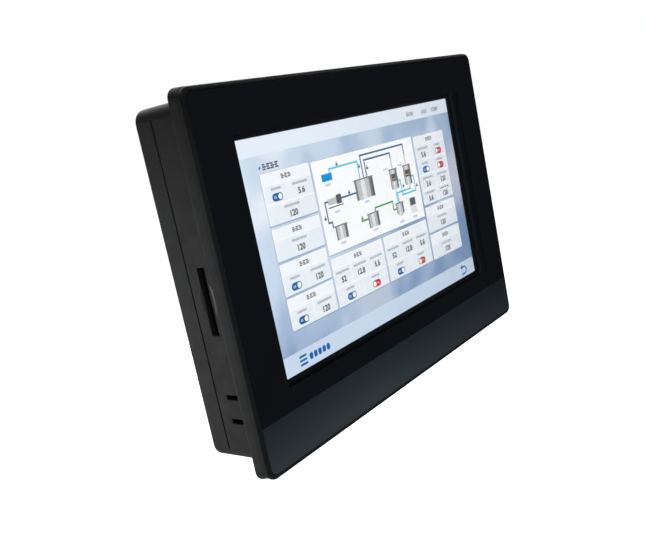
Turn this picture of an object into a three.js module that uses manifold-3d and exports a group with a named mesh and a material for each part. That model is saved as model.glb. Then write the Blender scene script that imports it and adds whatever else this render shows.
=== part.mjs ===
// A 7-inch panel-mounted operator terminal with a touch screen, in millimetres.
// X is to the right seen from the front, Y goes back into the cabinet, Z is up.
// The origin is the centre of the bezel, in the plane where its flange meets the cabinet panel.
import * as THREE from 'three';
import { mergeVertices } from 'three/addons/utils/BufferGeometryUtils.js';
import Module from 'manifold-3d';

const wasm = await Module();
wasm.setup();

// ---------------------------------------------------------------- driving dimensions

const BEZEL = { width: 201.2, height: 140, corner: 4.2, edge: 1.2, z: -0.25 };
const FLANGE = { width: 201.4, height: 140.9, corner: 2.8, z: -0.05, front: -3.4 };
const FRONT_Y = -6.9;
const HOUSING = { width: 192, height: 132.9, corner: 5.2, z: 0.4, wall: 2.2, edge: 1.4 };
const PARTING_Y = 16.2;
const PARTING_GAP = 0.25;
const REAR_Y = 25.6;
const PLATE_REAR_Y = -3.2;

const SCREEN_Z = 4.7;
const FILM = { width: 197.6, height: 136.5, corner: 3.2, front: -6.75, rear: -6.35, z: -0.3 };
const GLASS = { width: 172, height: 108, front: -6.25, rear: -4.85 };
const LCD = { width: 165.4, height: 100.4, front: -3.05, rear: 1.6, sheet: 0.5 };
const LCD_WINDOW = { width: 156, height: 92.4, x: -2.2 };
const FOAM = { width: 157, height: 93.4, front: -4.78, rear: -3.1 };
const CELL = { width: 163.6, height: 98.6, front: -2.45, rear: -1.2 };
const BACKLIGHT = { front: -1.1, rear: 1.5 };

const BRACKET = { width: 183, height: 102, front: 1.8, rear: 2.8 };
const BOARD = { halfWidth: 91, top: 54, bottom: -62, front: 9.3, rear: 10.5 };
const ON_BOARD = BOARD.rear + 0.1;
const BOARD_SCREW = { x: 87.8, up: 45, head: 2.8, shank: 1.2, hole: 1.7 };
const COVER_SCREW = { x: 88.5, top: 60, bottom: -59, head: 2.8, shank: 1.4, hole: 1.75 };

const CARD = { z: -4, width: 24, length: 32, y: 8.1, thick: 2.1, outer: -94.5 };
const CARD_SLOT = { y: 8.8, length: 25.4, height: 3.8 };
const SCOOP = { z: -3.7, outside: 2, depth: 3.2, halfHeight: 6.1, halfLength: 9 };
const CLAMP_SLOT = { y: 8.1, length: 5.6, height: 1.85, pitch: 9.4 };
const CLAMP_SLOT_SIDE_Z = -45.1;
const CLAMP_SLOT_TOP_X = 66;

const POWER = { x: -66, pitch: 5.08, screwZ: -73 };
const USB_DEVICE_X = -44;
const USB_HOST_X = -25;
const ETHERNET_X = -2;
const SERIAL = { xs: [30, 64], y: 16.8, screwPitch: 25 };
const SWITCHES = { z: 28, dipX: -64, leverPitch: 2.54, resetX: -50 };
const BATTERY = { x: 58, z: 28, cell: 10, cover: 27, coverTravel: 3 };
const GROUND = { x: -78, z: -42 };
const LABEL = { width: 70, height: 36, z: -18 };

const HOUSING_TOP = HOUSING.z + HOUSING.height / 2;
const HOUSING_BOTTOM = HOUSING.z - HOUSING.height / 2;
const GAP = 0.3;

// ---------------------------------------------------------------- materials

function finish(color, roughness, metalness = 0) {
  return new THREE.MeshStandardMaterial({ color, roughness, metalness });
}

const MATERIALS = {
  casing: finish(0x242523, 0.55),
  film: finish(0x0f1116, 0.18),
  glass: finish(0x9fb4bd, 0.05),
  rubber: finish(0x1b1b1c, 0.85),
  steel: finish(0xa6a8aa, 0.35, 0.9),
  lcd: finish(0x11151c, 0.12),
  diffuser: finish(0xe6e8e6, 0.5),
  flex: finish(0xb5651d, 0.4),
  board: finish(0x145c38, 0.45),
  chip: finish(0x17181a, 0.5),
  aluminium: finish(0x8d9094, 0.4, 0.8),
  terminal: finish(0x1f7a45, 0.5),
  portPlastic: finish(0x1a1a1c, 0.5),
  white: finish(0xe4e4e0, 0.5),
  red: finish(0xa32020, 0.5),
  label: finish(0xc9cbcc, 0.4),
};

// ---------------------------------------------------------------- shape helpers

function block(x0, x1, y0, y1, z0, z1) {
  const geometry = new THREE.BoxGeometry(x1 - x0, y1 - y0, z1 - z0);
  return geometry.translate((x0 + x1) / 2, (y0 + y1) / 2, (z0 + z1) / 2);
}

// A block centred on x, from one height and depth to another.
function blockAt(x, width, y0, y1, z0, z1) {
  return block(x - width / 2, x + width / 2, y0, y1, z0, z1);
}

// A round rod along Y at (x, z).
function rodY(radius, y0, y1, x, z, segments = 24) {
  const geometry = new THREE.CylinderGeometry(radius, radius, y1 - y0, segments);
  return geometry.translate(x, (y0 + y1) / 2, z);
}

// A round or hexagonal rod along Z at (x, y).
function rodZ(radius, z0, z1, x, y, segments = 24) {
  const geometry = new THREE.CylinderGeometry(radius, radius, z1 - z0, segments);
  return geometry.rotateX(Math.PI / 2).translate(x, y, (z0 + z1) / 2);
}

function roundedRectangle(width, height, corner) {
  const [w, h] = [width / 2 - corner, height / 2 - corner];
  const outline = new THREE.Shape();
  outline.absarc(w, h, corner, 0, Math.PI / 2);
  outline.absarc(-w, h, corner, Math.PI / 2, Math.PI);
  outline.absarc(-w, -h, corner, Math.PI, 1.5 * Math.PI);
  outline.absarc(w, -h, corner, 1.5 * Math.PI, 2 * Math.PI);
  return outline;
}

// An outline drawn in X and Z, given thickness along Y; edge rounds both of its rims.
function extrudeY(outline, y0, y1, edge = 0) {
  const geometry = new THREE.ExtrudeGeometry(outline, {
    depth: y1 - y0 - 2 * edge,
    curveSegments: 3,
    bevelEnabled: edge > 0,
    bevelThickness: edge,
    bevelSize: edge,
    bevelOffset: -edge,
    bevelSegments: 3,
  });
  return geometry.rotateX(Math.PI / 2).translate(0, y1 - edge, 0);
}

function slab(width, height, corner, y0, y1, z = 0, edge = 0) {
  return extrudeY(roundedRectangle(width, height, corner), y0, y1, edge).translate(0, 0, z);
}

// A closed polygon drawn in X and Z.
function polygon(points) {
  return new THREE.Shape(points.map(([x, z]) => new THREE.Vector2(x, z)));
}

function solidOf(geometry) {
  const bare = geometry.clone();
  bare.deleteAttribute('normal');
  bare.deleteAttribute('uv');
  const merged = mergeVertices(bare, 1e-4);
  const vertProperties = new Float32Array(merged.attributes.position.array);
  const triVerts = new Uint32Array(merged.index.array);
  return new wasm.Manifold(new wasm.Mesh({ numProp: 3, vertProperties, triVerts }));
}

function geometryOf(solid) {
  const { vertProperties, triVerts } = solid.getMesh();
  const geometry = new THREE.BufferGeometry();
  geometry.setAttribute('position', new THREE.BufferAttribute(vertProperties, 3));
  geometry.setIndex(new THREE.BufferAttribute(triVerts, 1));
  geometry.computeVertexNormals();
  return geometry;
}

// Joins the first list of shapes and takes the second list away.
function carve(added, removed = []) {
  let solid = added.map(solidOf).reduce((a, b) => a.add(b));
  for (const shape of removed) {
    solid = solid.subtract(solidOf(shape));
  }
  return geometryOf(solid);
}

const group = new THREE.Group();
group.name = 'hmi_touch_panel';

function place(name, material, geometry) {
  const mesh = new THREE.Mesh(geometry, MATERIALS[material]);
  mesh.name = name;
  group.add(mesh);
}

function corners(x, z0, z1) {
  return [[-x, z1], [x, z1], [x, z0], [-x, z0]];
}

const BOARD_SCREWS = corners(
  BOARD_SCREW.x, SCREEN_Z - BOARD_SCREW.up, SCREEN_Z + BOARD_SCREW.up);
const COVER_SCREWS = corners(COVER_SCREW.x, COVER_SCREW.bottom, COVER_SCREW.top);

// The housing's outline brought in by an inset, negative to grow it.
function housingSlab(inset, y0, y1, edge = 0) {
  const corner = Math.max(HOUSING.corner - inset, 1);
  const [w, h] = [HOUSING.width - 2 * inset, HOUSING.height - 2 * inset];
  return slab(w, h, corner, y0, y1, HOUSING.z, edge);
}

function housingRing(outerInset, innerInset, y0, y1) {
  return carve([housingSlab(outerInset, y0, y1)], [housingSlab(innerInset, y0 - 1, y1 + 1)]);
}

// ---------------------------------------------------------------- openings in the shells

// The rounded D of a nine-pole serial connector, drawn in X and Y.
function serialOutline(x, grow) {
  const [wide, narrow, half] = [8.3 + grow, 7 + grow, 3.95 + grow];
  const outline = new THREE.Shape();
  outline.moveTo(x - narrow, SERIAL.y - half);
  outline.lineTo(x + narrow, SERIAL.y - half);
  outline.lineTo(x + wide, SERIAL.y + half);
  outline.lineTo(x - wide, SERIAL.y + half);
  return outline;
}

function serialPrism(x, grow, z0, z1) {
  const settings = { depth: z1 - z0, bevelEnabled: false };
  return new THREE.ExtrudeGeometry(serialOutline(x, grow), settings).translate(0, 0, z0);
}

// Everything that passes through the bottom wall, cut from both shells across the parting line.
function portOpenings() {
  const [low, high] = [HOUSING_BOTTOM - 2, HOUSING_BOTTOM + 6];
  const inner = HOUSING_BOTTOM + HOUSING.wall;
  const openings = [
    blockAt(POWER.x, 18.1, 10.7, 20.5, low, high),
    blockAt(USB_DEVICE_X, 12.6, 10.3, 21.9, low, high),
    blockAt(USB_HOST_X, 15.2, 10.3, 18.1, low, high),
    blockAt(ETHERNET_X, 16.6, 10.3, 22.7, low, high),
  ];
  for (const x of SERIAL.xs) {
    openings.push(serialPrism(x, 0.6, low, high));
    openings.push(blockAt(x, 31.6, 10.2, REAR_Y - HOUSING.wall, inner, high));
    for (const side of [-1, 1]) {
      openings.push(rodZ(1.75, low, high, x + side * SERIAL.screwPitch / 2, SERIAL.y, 16));
    }
  }
  return openings;
}

function clampSlots() {
  const { y, length, height, pitch } = CLAMP_SLOT;
  const [y0, y1] = [y - length / 2, y + length / 2];
  const reach = HOUSING.width / 2;
  const slots = [];
  for (const step of [-pitch / 2, pitch / 2]) {
    const z = CLAMP_SLOT_SIDE_Z + step;
    for (const side of [-1, 1]) {
      slots.push(blockAt(side * reach, 8, y0, y1, z - height / 2, z + height / 2));
      for (const edgeZ of [HOUSING_TOP, HOUSING_BOTTOM]) {
        const x = side * CLAMP_SLOT_TOP_X + step;
        slots.push(blockAt(x, height, y0, y1, edgeZ - 3.5, edgeZ + 3.5));
      }
    }
  }
  return slots;
}

function cardOpenings() {
  const half = CARD_SLOT.length / 2;
  const [y0, y1] = [CARD_SLOT.y - CARD_SLOT.height / 2, CARD_SLOT.y + CARD_SLOT.height / 2];
  const slot = blockAt(-HOUSING.width / 2, 8, y0, y1, CARD.z - half, CARD.z + half);
  const scoop = new THREE.SphereGeometry(1, 28, 20);
  scoop.scale(SCOOP.depth, SCOOP.halfHeight, SCOOP.halfLength);
  scoop.translate(-HOUSING.width / 2 - SCOOP.outside, CARD_SLOT.y, SCOOP.z);
  return [slot, scoop];
}

// ---------------------------------------------------------------- front

const GROOVE = { inset: -0.6, outset: -2.4, depth: 1.4 };
const TAIL = { x: 84.65, z: -2, width: 12, thick: 0.3 };

function frontHousing() {
  const behindFlange = block(-150, 150, 0, 20, -100, 100);
  const bezel = slab(BEZEL.width, BEZEL.height, BEZEL.corner, FRONT_Y, 6, BEZEL.z, BEZEL.edge);
  const plate = slab(FLANGE.width, FLANGE.height, FLANGE.corner, FLANGE.front, 1, FLANGE.z);
  const flange = carve([bezel, plate], [behindFlange]);
  const sleeve = housingSlab(0, -2, PARTING_Y);
  const inside = housingSlab(HOUSING.wall, PLATE_REAR_Y, PARTING_Y + 1);
  const shell = carve([flange, sleeve], [inside]);
  const added = [shell];
  const removed = [
    slab(FILM.width + 0.4, FILM.height + 0.4, FILM.corner + 0.2,
      FRONT_Y - 1, FILM.rear + 0.05, FILM.z),
    slab(GLASS.width + 0.6, GLASS.height + 0.6, 1, FRONT_Y, GLASS.rear + 0.05, SCREEN_Z),
    slab(LCD.width + 0.8, LCD.height + 0.8, 0.5, FRONT_Y, 0, SCREEN_Z),
    housingRing(GROOVE.outset, GROOVE.inset, -GROOVE.depth, 1),
    blockAt(TAIL.x, 1.1, -6, 0, TAIL.z - 7, TAIL.z + 7),
    ...cardOpenings(),
    ...clampSlots(),
    ...portOpenings(),
  ];
  for (const [x, z] of BOARD_SCREWS) {
    added.push(rodY(3.2, PLATE_REAR_Y - 0.8, BRACKET.front - 0.1, x, z, 20));
    removed.push(rodY(1.5, -4.3, 3, x, z, 16));
  }
  for (const [x, z] of COVER_SCREWS) {
    added.push(rodY(3.6, PLATE_REAR_Y - 0.8, 14, x, z, 20));
    removed.push(rodY(COVER_SCREW.hole, 6, 15, x, z, 16));
  }
  return carve(added, removed);
}

// The LCD's picture lies a little to the left of the module's middle, and so do the openings before it.
function pictureOpening({ width, height }, y0, y1) {
  return slab(width, height, 0.6, y0, y1, SCREEN_Z).translate(LCD_WINDOW.x, 0, 0);
}

function foamRing() {
  const { front, rear } = FOAM;
  return carve(
    [slab(LCD.width, LCD.height, 0.8, front, rear, SCREEN_Z)],
    [pictureOpening(FOAM, front - 1, rear + 1)],
  );
}

// The LCD's pressed steel can: a lip round the picture and four walls, open at the back.
function lcdFrame() {
  const { width, height, front, rear, sheet } = LCD;
  const inner = [width - 2 * sheet, height - 2 * sheet];
  return carve(
    [slab(width, height, 0.8, front, rear, SCREEN_Z)],
    [
      slab(...inner, 0.4, front + sheet, rear + 1, SCREEN_Z),
      pictureOpening(LCD_WINDOW, front - 1, rear),
    ],
  );
}

function lcdBracket() {
  const { width, height, front, rear } = BRACKET;
  const added = [slab(width, height, 4, front, rear, SCREEN_Z)];
  const removed = [blockAt(TAIL.x + 0.1, 2.6, front - 1, rear + 1, TAIL.z - 7, TAIL.z + 7)];
  for (const side of [-1, 1]) {
    removed.push(blockAt(side * 42.5, 55, front - 1, rear + 1, -36, 45));
  }
  for (const [x, z] of BOARD_SCREWS) {
    added.push(rodY(3, rear - 0.5, BOARD.front - 0.1, x, z, 20));
    removed.push(rodY(BOARD_SCREW.hole, front - 1, BOARD.front + 1, x, z, 16));
  }
  return carve(added, removed);
}

// The flat cable from the back of the LCD down to its connector, as an S-shaped strip.
function lcdCable() {
  const start = new THREE.Vector2(2, -6);
  const end = new THREE.Vector2(7.8, -30.9);
  const path = new THREE.CubicBezierCurve(
    start, new THREE.Vector2(2, -24), new THREE.Vector2(7.8, -12), end);
  const [front, back] = [[], []];
  for (let i = 0; i <= 14; i += 1) {
    const point = path.getPoint(i / 14);
    const tangent = path.getTangent(i / 14);
    const normal = new THREE.Vector2(-tangent.y, tangent.x).multiplyScalar(0.15);
    front.push(point.clone().add(normal));
    back.unshift(point.clone().sub(normal));
  }
  const strip = new THREE.ExtrudeGeometry(new THREE.Shape([...front, ...back]), {
    depth: 38,
    bevelEnabled: false,
  });
  // drawn in (Y, Z) and given its width along X
  const turn = new THREE.Matrix4().makeBasis(
    new THREE.Vector3(0, 1, 0), new THREE.Vector3(0, 0, 1), new THREE.Vector3(1, 0, 0));
  return strip.applyMatrix4(turn).translate(22, 0, 0);
}

place('front_housing', 'casing', frontHousing());
place('front_film', 'film', slab(
  FILM.width, FILM.height, FILM.corner, FILM.front, FILM.rear, FILM.z));
place('touch_glass', 'glass', slab(GLASS.width, GLASS.height, 0.8, GLASS.front, GLASS.rear, SCREEN_Z));
place('touch_tail', 'flex', blockAt(
  TAIL.x, TAIL.thick, GLASS.rear + 0.1, BOARD.front - 0.1,
  TAIL.z - TAIL.width / 2, TAIL.z + TAIL.width / 2));
place('lcd_foam', 'rubber', foamRing());
place('lcd_frame', 'steel', lcdFrame());
place('lcd_cell', 'lcd', slab(CELL.width, CELL.height, 0.4, CELL.front, CELL.rear, SCREEN_Z));
place('backlight', 'diffuser', slab(
  CELL.width, CELL.height, 0.4, BACKLIGHT.front, BACKLIGHT.rear, SCREEN_Z));
place('lcd_bracket', 'steel', lcdBracket());
place('lcd_cable', 'white', lcdCable());
place('lcd_connector', 'white', block(20.5, 61.5, 6.9, BOARD.front - 0.05, -36, -31));
place('panel_gasket', 'rubber',
  housingRing(GROOVE.outset + 0.15, GROOVE.inset - 0.15, -GROOVE.depth + 0.05, 0.5));

// ---------------------------------------------------------------- rear cover

const POCKET = { x0: -72, x1: -44, z0: 20, z1: 36, floor: 18.2 };
const HATCH_FLOOR_Y = 23.6;

function ventSlots() {
  const slots = [];
  for (let x = -30; x <= 30; x += 5) {
    slots.push(blockAt(x, 2, REAR_Y - 4, REAR_Y + 1, 18, 46));
  }
  for (let x = -60; x <= 60; x += 6) {
    slots.push(blockAt(x, 2.2, 18.6, 21.8, HOUSING_TOP - 4, HOUSING_TOP + 1));
  }
  return slots;
}

// The sunk window over the DIP switch and the reset button.
function pocketOpenings() {
  const { x0, x1, z0, z1, floor } = POCKET;
  return [
    block(x0, x1, floor, REAR_Y + 1, z0, z1),
    blockAt(SWITCHES.dipX, 11.8, floor - 4, floor + 1, SWITCHES.z - 2.4, SWITCHES.z + 2.4),
    rodY(2, floor - 4, floor + 1, SWITCHES.resetX, SWITCHES.z, 20),
  ];
}

function hatchOpenings() {
  const half = BATTERY.cover / 2 + GAP;
  const { x, z, coverTravel } = BATTERY;
  return [
    block(x - half, x + half + coverTravel, HATCH_FLOOR_Y, REAR_Y + 1, z - half, z + half),
    block(x - 11.5, x + 11.5, 20, REAR_Y, z - 11.5, z + 11.5),
  ];
}

function rearCover() {
  const beforeParting = block(-150, 150, -20, PARTING_Y + PARTING_GAP, -100, 100);
  const whole = carve([housingSlab(0, PARTING_Y - 8, REAR_Y, HOUSING.edge)], [beforeParting]);
  const inside = housingSlab(HOUSING.wall, PARTING_Y - 2, REAR_Y - HOUSING.wall);
  const shell = carve([whole], [inside]);
  const lipInset = HOUSING.wall + 1.2;
  const lip = housingRing(HOUSING.wall + 0.2, lipInset, 14.3, PARTING_Y + 2.5);
  const root = housingRing(HOUSING.wall - 0.8, lipInset, PARTING_Y + 0.8, PARTING_Y + 2.5);
  const { x0, x1, z0, z1, floor } = POCKET;
  const added = [
    shell,
    lip,
    root,
    block(x0 - 1.8, x1 + 1.8, floor - 1.6, REAR_Y - 1, z0 - 1.8, z1 + 1.8),
    block(BATTERY.x - 16, BATTERY.x + 19, 21.4, REAR_Y - 1, BATTERY.z - 16, BATTERY.z + 16),
    rodY(5, 13, 21.5, GROUND.x, GROUND.z),
    rodY(7.8, 20.5, REAR_Y - 1, GROUND.x, GROUND.z),
  ];
  const labelFloor = REAR_Y - 0.35;
  const [labelX, labelZ] = [LABEL.width + 0.6, LABEL.height / 2 + 0.3];
  const removed = [
    ...ventSlots(),
    ...pocketOpenings(),
    ...hatchOpenings(),
    ...portOpenings(),
    rodY(6.2, 22, REAR_Y + 1, GROUND.x, GROUND.z),
    rodY(2.3, 12, 23, GROUND.x, GROUND.z, 20),
    blockAt(0, labelX, labelFloor, REAR_Y + 1, LABEL.z - labelZ, LABEL.z + labelZ),
  ];
  for (const [x, z] of COVER_SCREWS) {
    added.push(rodY(3.9, 14.3, REAR_Y - 1, x, z, 20));
    removed.push(rodY(COVER_SCREW.hole, 14, REAR_Y, x, z, 16));
    removed.push(rodY(3.2, 21.8, REAR_Y + 1, x, z, 20));
  }
  return carve(added, removed);
}

function batteryCover() {
  const half = BATTERY.cover / 2;
  const { x, z } = BATTERY;
  const grooves = [];
  for (const step of [-2.4, 0, 2.4]) {
    grooves.push(blockAt(x + 8 + step, 1.1, REAR_Y - 0.5, REAR_Y + 1, z - 7, z + 7));
  }
  const plate = block(x - half, x + half, HATCH_FLOOR_Y + 0.1, REAR_Y - 0.05, z - half, z + half);
  return carve([plate], grooves);
}

// A screw along Y with its head towards +Y and a straight or crossed drive slot.
function screw(x, z, size) {
  const { head, shank, headFront, headRear, tip, crossed, washer } = size;
  const added = [
    rodY(head, headFront, headRear, x, z, 20),
    rodY(shank, tip, headFront + 0.2, x, z, 16),
  ];
  if (washer) {
    added.push(rodY(washer, headFront, headFront + 0.8, x, z, 20));
  }
  const deep = headRear - 0.8;
  const drive = [blockAt(x, head * 1.3, deep, headRear + 1, z - head * 0.15, z + head * 0.15)];
  if (crossed) {
    drive.push(blockAt(x, head * 0.3, deep, headRear + 1, z - head * 0.65, z + head * 0.65));
  }
  return carve(added, drive);
}

place('rear_cover', 'casing', rearCover());
place('battery_cover', 'casing', batteryCover());
place('rating_label', 'label', blockAt(
  0, LABEL.width, REAR_Y - 0.3, REAR_Y - 0.1,
  LABEL.z - LABEL.height / 2, LABEL.z + LABEL.height / 2));

COVER_SCREWS.forEach(([x, z], i) => {
  const { head, shank } = COVER_SCREW;
  const size = { head, shank, headFront: 21.9, headRear: 24, tip: 6.6, crossed: true };
  place(`cover_screw_${i + 1}`, 'steel', screw(x, z, size));
});
place('ground_screw', 'steel', screw(GROUND.x, GROUND.z, {
  head: 3.7, shank: 1.95, headFront: 22.1, headRear: 25, tip: 13.5, crossed: true, washer: 4.8,
}));

// ---------------------------------------------------------------- main board

function mainBoard() {
  const { halfWidth, top, bottom, front, rear } = BOARD;
  const [notchX, notchZ] = [83, -52.5];
  const outline = polygon([
    [-notchX, bottom], [notchX, bottom], [notchX, notchZ], [halfWidth, notchZ],
    [halfWidth, top], [-halfWidth, top], [-halfWidth, notchZ], [-notchX, notchZ],
  ]);
  const holes = BOARD_SCREWS.map(([x, z]) => rodY(BOARD_SCREW.hole, front - 1, rear + 1, x, z, 16));
  return carve([extrudeY(outline, front, rear)], holes);
}

function heatSink() {
  const base = block(-17, 17, ON_BOARD + 1.3, ON_BOARD + 2.9, 15, 45);
  const fins = [];
  for (let i = 0; i < 8; i += 1) {
    fins.push(blockAt(-15.75 + 4.5 * i, 1.3, ON_BOARD + 2.5, ON_BOARD + 10, 15, 45));
  }
  return carve([base, ...fins]);
}

function dipSwitch() {
  const { dipX, z, leverPitch } = SWITCHES;
  const slots = [];
  for (let i = 0; i < 4; i += 1) {
    const x = dipX + (i - 1.5) * leverPitch;
    slots.push(blockAt(x, 1.7, 14.4, 17, z - 2.1, z + 2.1));
  }
  return carve([blockAt(dipX, 11.4, ON_BOARD, 16.3, z - 3.3, z + 3.3)], slots);
}

function batteryHolder() {
  const { x, z, cell } = BATTERY;
  return carve(
    [rodY(cell + 2.2, ON_BOARD, 15.6, x, z, 32)],
    [
      rodY(cell + 0.4, 12, 17, x, z, 32),
      blockAt(x, 8, 12, 17, z - 14, z),
    ],
  );
}

place('main_board', 'board', mainBoard());
place('processor', 'chip', block(-8.5, 8.5, ON_BOARD, ON_BOARD + 1.2, 21.5, 38.5));
place('heat_sink', 'aluminium', heatSink());
place('memory_chip', 'chip', block(-34, -26, ON_BOARD, ON_BOARD + 1.1, 30, 43));
place('flash_chip', 'chip', block(-36, -24, ON_BOARD, ON_BOARD + 1.1, 12, 22));
place('power_inductor', 'chip', block(-66, -54, ON_BOARD, ON_BOARD + 7, -34, -22));
place('capacitor', 'aluminium', rodY(5, ON_BOARD, ON_BOARD + 11.4, -44, -32));
place('buzzer', 'portPlastic', carve(
  [rodY(6, ON_BOARD, ON_BOARD + 8, 36, 44)],
  [rodY(1, ON_BOARD + 6, ON_BOARD + 9, 36, 44, 12)]));
place('battery_holder', 'portPlastic', batteryHolder());
place('coin_cell', 'steel', rodY(BATTERY.cell, 12.1, 15.3, BATTERY.x, BATTERY.z, 32));
place('dip_switch', 'red', dipSwitch());
for (let i = 0; i < 4; i += 1) {
  const x = SWITCHES.dipX + (i - 1.5) * SWITCHES.leverPitch;
  const z0 = SWITCHES.z - 1.65;
  place(`dip_lever_${i + 1}`, 'white', blockAt(x, 1.1, 14.6, 17.7, z0, z0 + 1.6));
}
place('reset_switch', 'chip', carve(
  [blockAt(SWITCHES.resetX, 6, ON_BOARD, 14.2, SWITCHES.z - 3, SWITCHES.z + 3)],
  [rodY(2, 12.4, 15, SWITCHES.resetX, SWITCHES.z, 20)]));
place('reset_button', 'white', rodY(1.7, 13.6, 18.9, SWITCHES.resetX, SWITCHES.z, 20));
BOARD_SCREWS.forEach(([x, z], i) => {
  const { head, shank } = BOARD_SCREW;
  const size = { head, shank, headFront: ON_BOARD, headRear: 12.5, tip: -3.8, crossed: true };
  place(`board_screw_${i + 1}`, 'steel', screw(x, z, size));
});

// ---------------------------------------------------------------- memory card

function cardSocket() {
  const { z, width, y, thick, outer, length } = CARD;
  const mouth = -HOUSING.width / 2 + HOUSING.wall + 0.4;
  const half = width / 2;
  return carve(
    [block(mouth, outer + length + 1.2, y - 1.8, BOARD.front - 0.1, z - half - 2, z + half + 2)],
    [block(mouth - 1, outer + length + GAP, y - thick / 2 - 0.15, y + thick / 2 + 0.15,
      z - half - GAP, z + half + GAP)],
  );
}

function memoryCard() {
  const { z, width, y, thick, outer, length } = CARD;
  const [inner, half, cut] = [outer + length, width / 2, 4];
  const outline = polygon([
    [outer, z - half], [inner - cut, z - half], [inner, z - half + cut],
    [inner, z + half], [outer, z + half],
  ]);
  return extrudeY(outline, y - thick / 2, y + thick / 2);
}

place('card_socket', 'steel', cardSocket());
place('memory_card', 'portPlastic', memoryCard());

// ---------------------------------------------------------------- ports on the bottom

const PORT_END_Z = HOUSING_BOTTOM + 0.2;

function serialPort(x) {
  const holes = [-1, 1].map((side) =>
    rodZ(1.6, -64.5, -61.5, x + side * SERIAL.screwPitch / 2, SERIAL.y, 16));
  return carve(
    [
      blockAt(x, 30.8, ON_BOARD, 22.9, -63.6, -62.6),
      serialPrism(x, 0, HOUSING_BOTTOM - 3.8, -63),
      blockAt(x, 19, ON_BOARD, 21.6, -62.9, -52.5),
    ],
    holes,
  );
}

function jackScrew(x) {
  const hexTop = HOUSING_BOTTOM - 0.1;
  return carve([
    rodZ(2.7, hexTop - 4.8, hexTop, x, SERIAL.y, 6),
    rodZ(1.3, hexTop - 0.2, -60, x, SERIAL.y, 16),
  ]);
}

function ethernetJack() {
  const x = ETHERNET_X;
  return carve(
    [blockAt(x, 16, ON_BOARD, 22.4, PORT_END_Z, -50.3)],
    [
      blockAt(x, 11.8, 12, 18.8, PORT_END_Z - 1, -54),
      blockAt(x, 6.2, 18, 21.2, PORT_END_Z - 1, -56),
    ],
  );
}

function usbHost() {
  const x = USB_HOST_X;
  const shell = carve(
    [blockAt(x, 14.6, ON_BOARD, 17.8, PORT_END_Z, -51.5)],
    [blockAt(x, 12.5, 11.65, 16.75, PORT_END_Z - 1, -55.5)],
  );
  return carve([shell, blockAt(x, 11, 14.3, 16.1, PORT_END_Z + 1, -54.5)]);
}

function usbDevice() {
  const x = USB_DEVICE_X;
  const shell = carve(
    [blockAt(x, 12, ON_BOARD, 21.6, PORT_END_Z, -50)],
    [blockAt(x, 8.5, 12.2, 20, PORT_END_Z - 1, -56.5)],
  );
  return carve([shell, blockAt(x, 5.6, 14.5, 17.7, PORT_END_Z + 1, -55.5)]);
}

function powerHeader() {
  return carve(
    [blockAt(POWER.x, 17.5, 11, 20.2, PORT_END_Z, -53.5)],
    [blockAt(POWER.x, 15.8, 12, 19.2, PORT_END_Z - 1, -56.8)],
  );
}

const POLES = [-1, 0, 1].map((step) => POWER.x + step * POWER.pitch);

// The plug-in half of the power connector: a tongue in the header and a body with three wire entries.
function powerPlug() {
  const removed = [];
  for (const x of POLES) {
    removed.push(blockAt(x, 3.4, 13, 16.6, -77.5, -70));
    removed.push(rodY(1.9, 17.2, 24, x, POWER.screwZ, 20));
    removed.push(rodY(1.5, 15, 18, x, POWER.screwZ, 16));
  }
  return carve(
    [
      blockAt(POWER.x, 15.2, 12.3, 18.9, -67.5, -57.1),
      blockAt(POWER.x, 15.2, 11.2, 22.4, -76.8, -66.7),
    ],
    removed,
  );
}

SERIAL.xs.forEach((x, i) => {
  place(`serial_port_${i + 1}`, 'steel', serialPort(x));
  [-1, 1].forEach((side, j) => {
    const name = `jack_screw_${2 * i + j + 1}`;
    place(name, 'steel', jackScrew(x + side * SERIAL.screwPitch / 2));
  });
});
place('ethernet_jack', 'steel', ethernetJack());
place('usb_host_port', 'steel', usbHost());
place('usb_device_port', 'steel', usbDevice());
place('power_header', 'terminal', powerHeader());
place('power_plug', 'terminal', powerPlug());
POLES.forEach((x, i) => {
  const size = { head: 1.6, shank: 1.2, headFront: 17.4, headRear: 19.6, tip: 14.4 };
  place(`terminal_screw_${i + 1}`, 'steel', screw(x, POWER.screwZ, size));
});

export default group;
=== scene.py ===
"""A 7-inch panel-mounted operator terminal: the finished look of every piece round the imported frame.

Shapes are drawn in millimetres in the part's own frame and scaled to metres when they become objects.
X is to the right seen from the front, Y goes back into the cabinet, Z is up.
"""
import math

import bmesh
import bpy
from mathutils import Matrix, Quaternion, Vector


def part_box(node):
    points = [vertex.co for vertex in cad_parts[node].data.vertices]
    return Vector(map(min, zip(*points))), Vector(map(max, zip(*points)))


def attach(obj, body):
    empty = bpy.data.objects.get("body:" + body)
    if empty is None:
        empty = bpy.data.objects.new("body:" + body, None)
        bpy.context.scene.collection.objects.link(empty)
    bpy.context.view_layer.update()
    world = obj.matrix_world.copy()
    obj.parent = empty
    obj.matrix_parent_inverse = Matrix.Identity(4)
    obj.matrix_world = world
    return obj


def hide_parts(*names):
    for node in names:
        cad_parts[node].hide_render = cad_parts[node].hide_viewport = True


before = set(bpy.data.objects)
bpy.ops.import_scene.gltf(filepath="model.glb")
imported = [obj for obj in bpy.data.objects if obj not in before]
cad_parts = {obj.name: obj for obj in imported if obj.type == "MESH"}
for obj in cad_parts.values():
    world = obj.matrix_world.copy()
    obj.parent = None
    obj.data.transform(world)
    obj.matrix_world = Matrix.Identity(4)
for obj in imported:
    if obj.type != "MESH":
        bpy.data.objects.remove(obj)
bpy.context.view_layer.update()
MM = 0.001
BODY = "panel"


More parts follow.
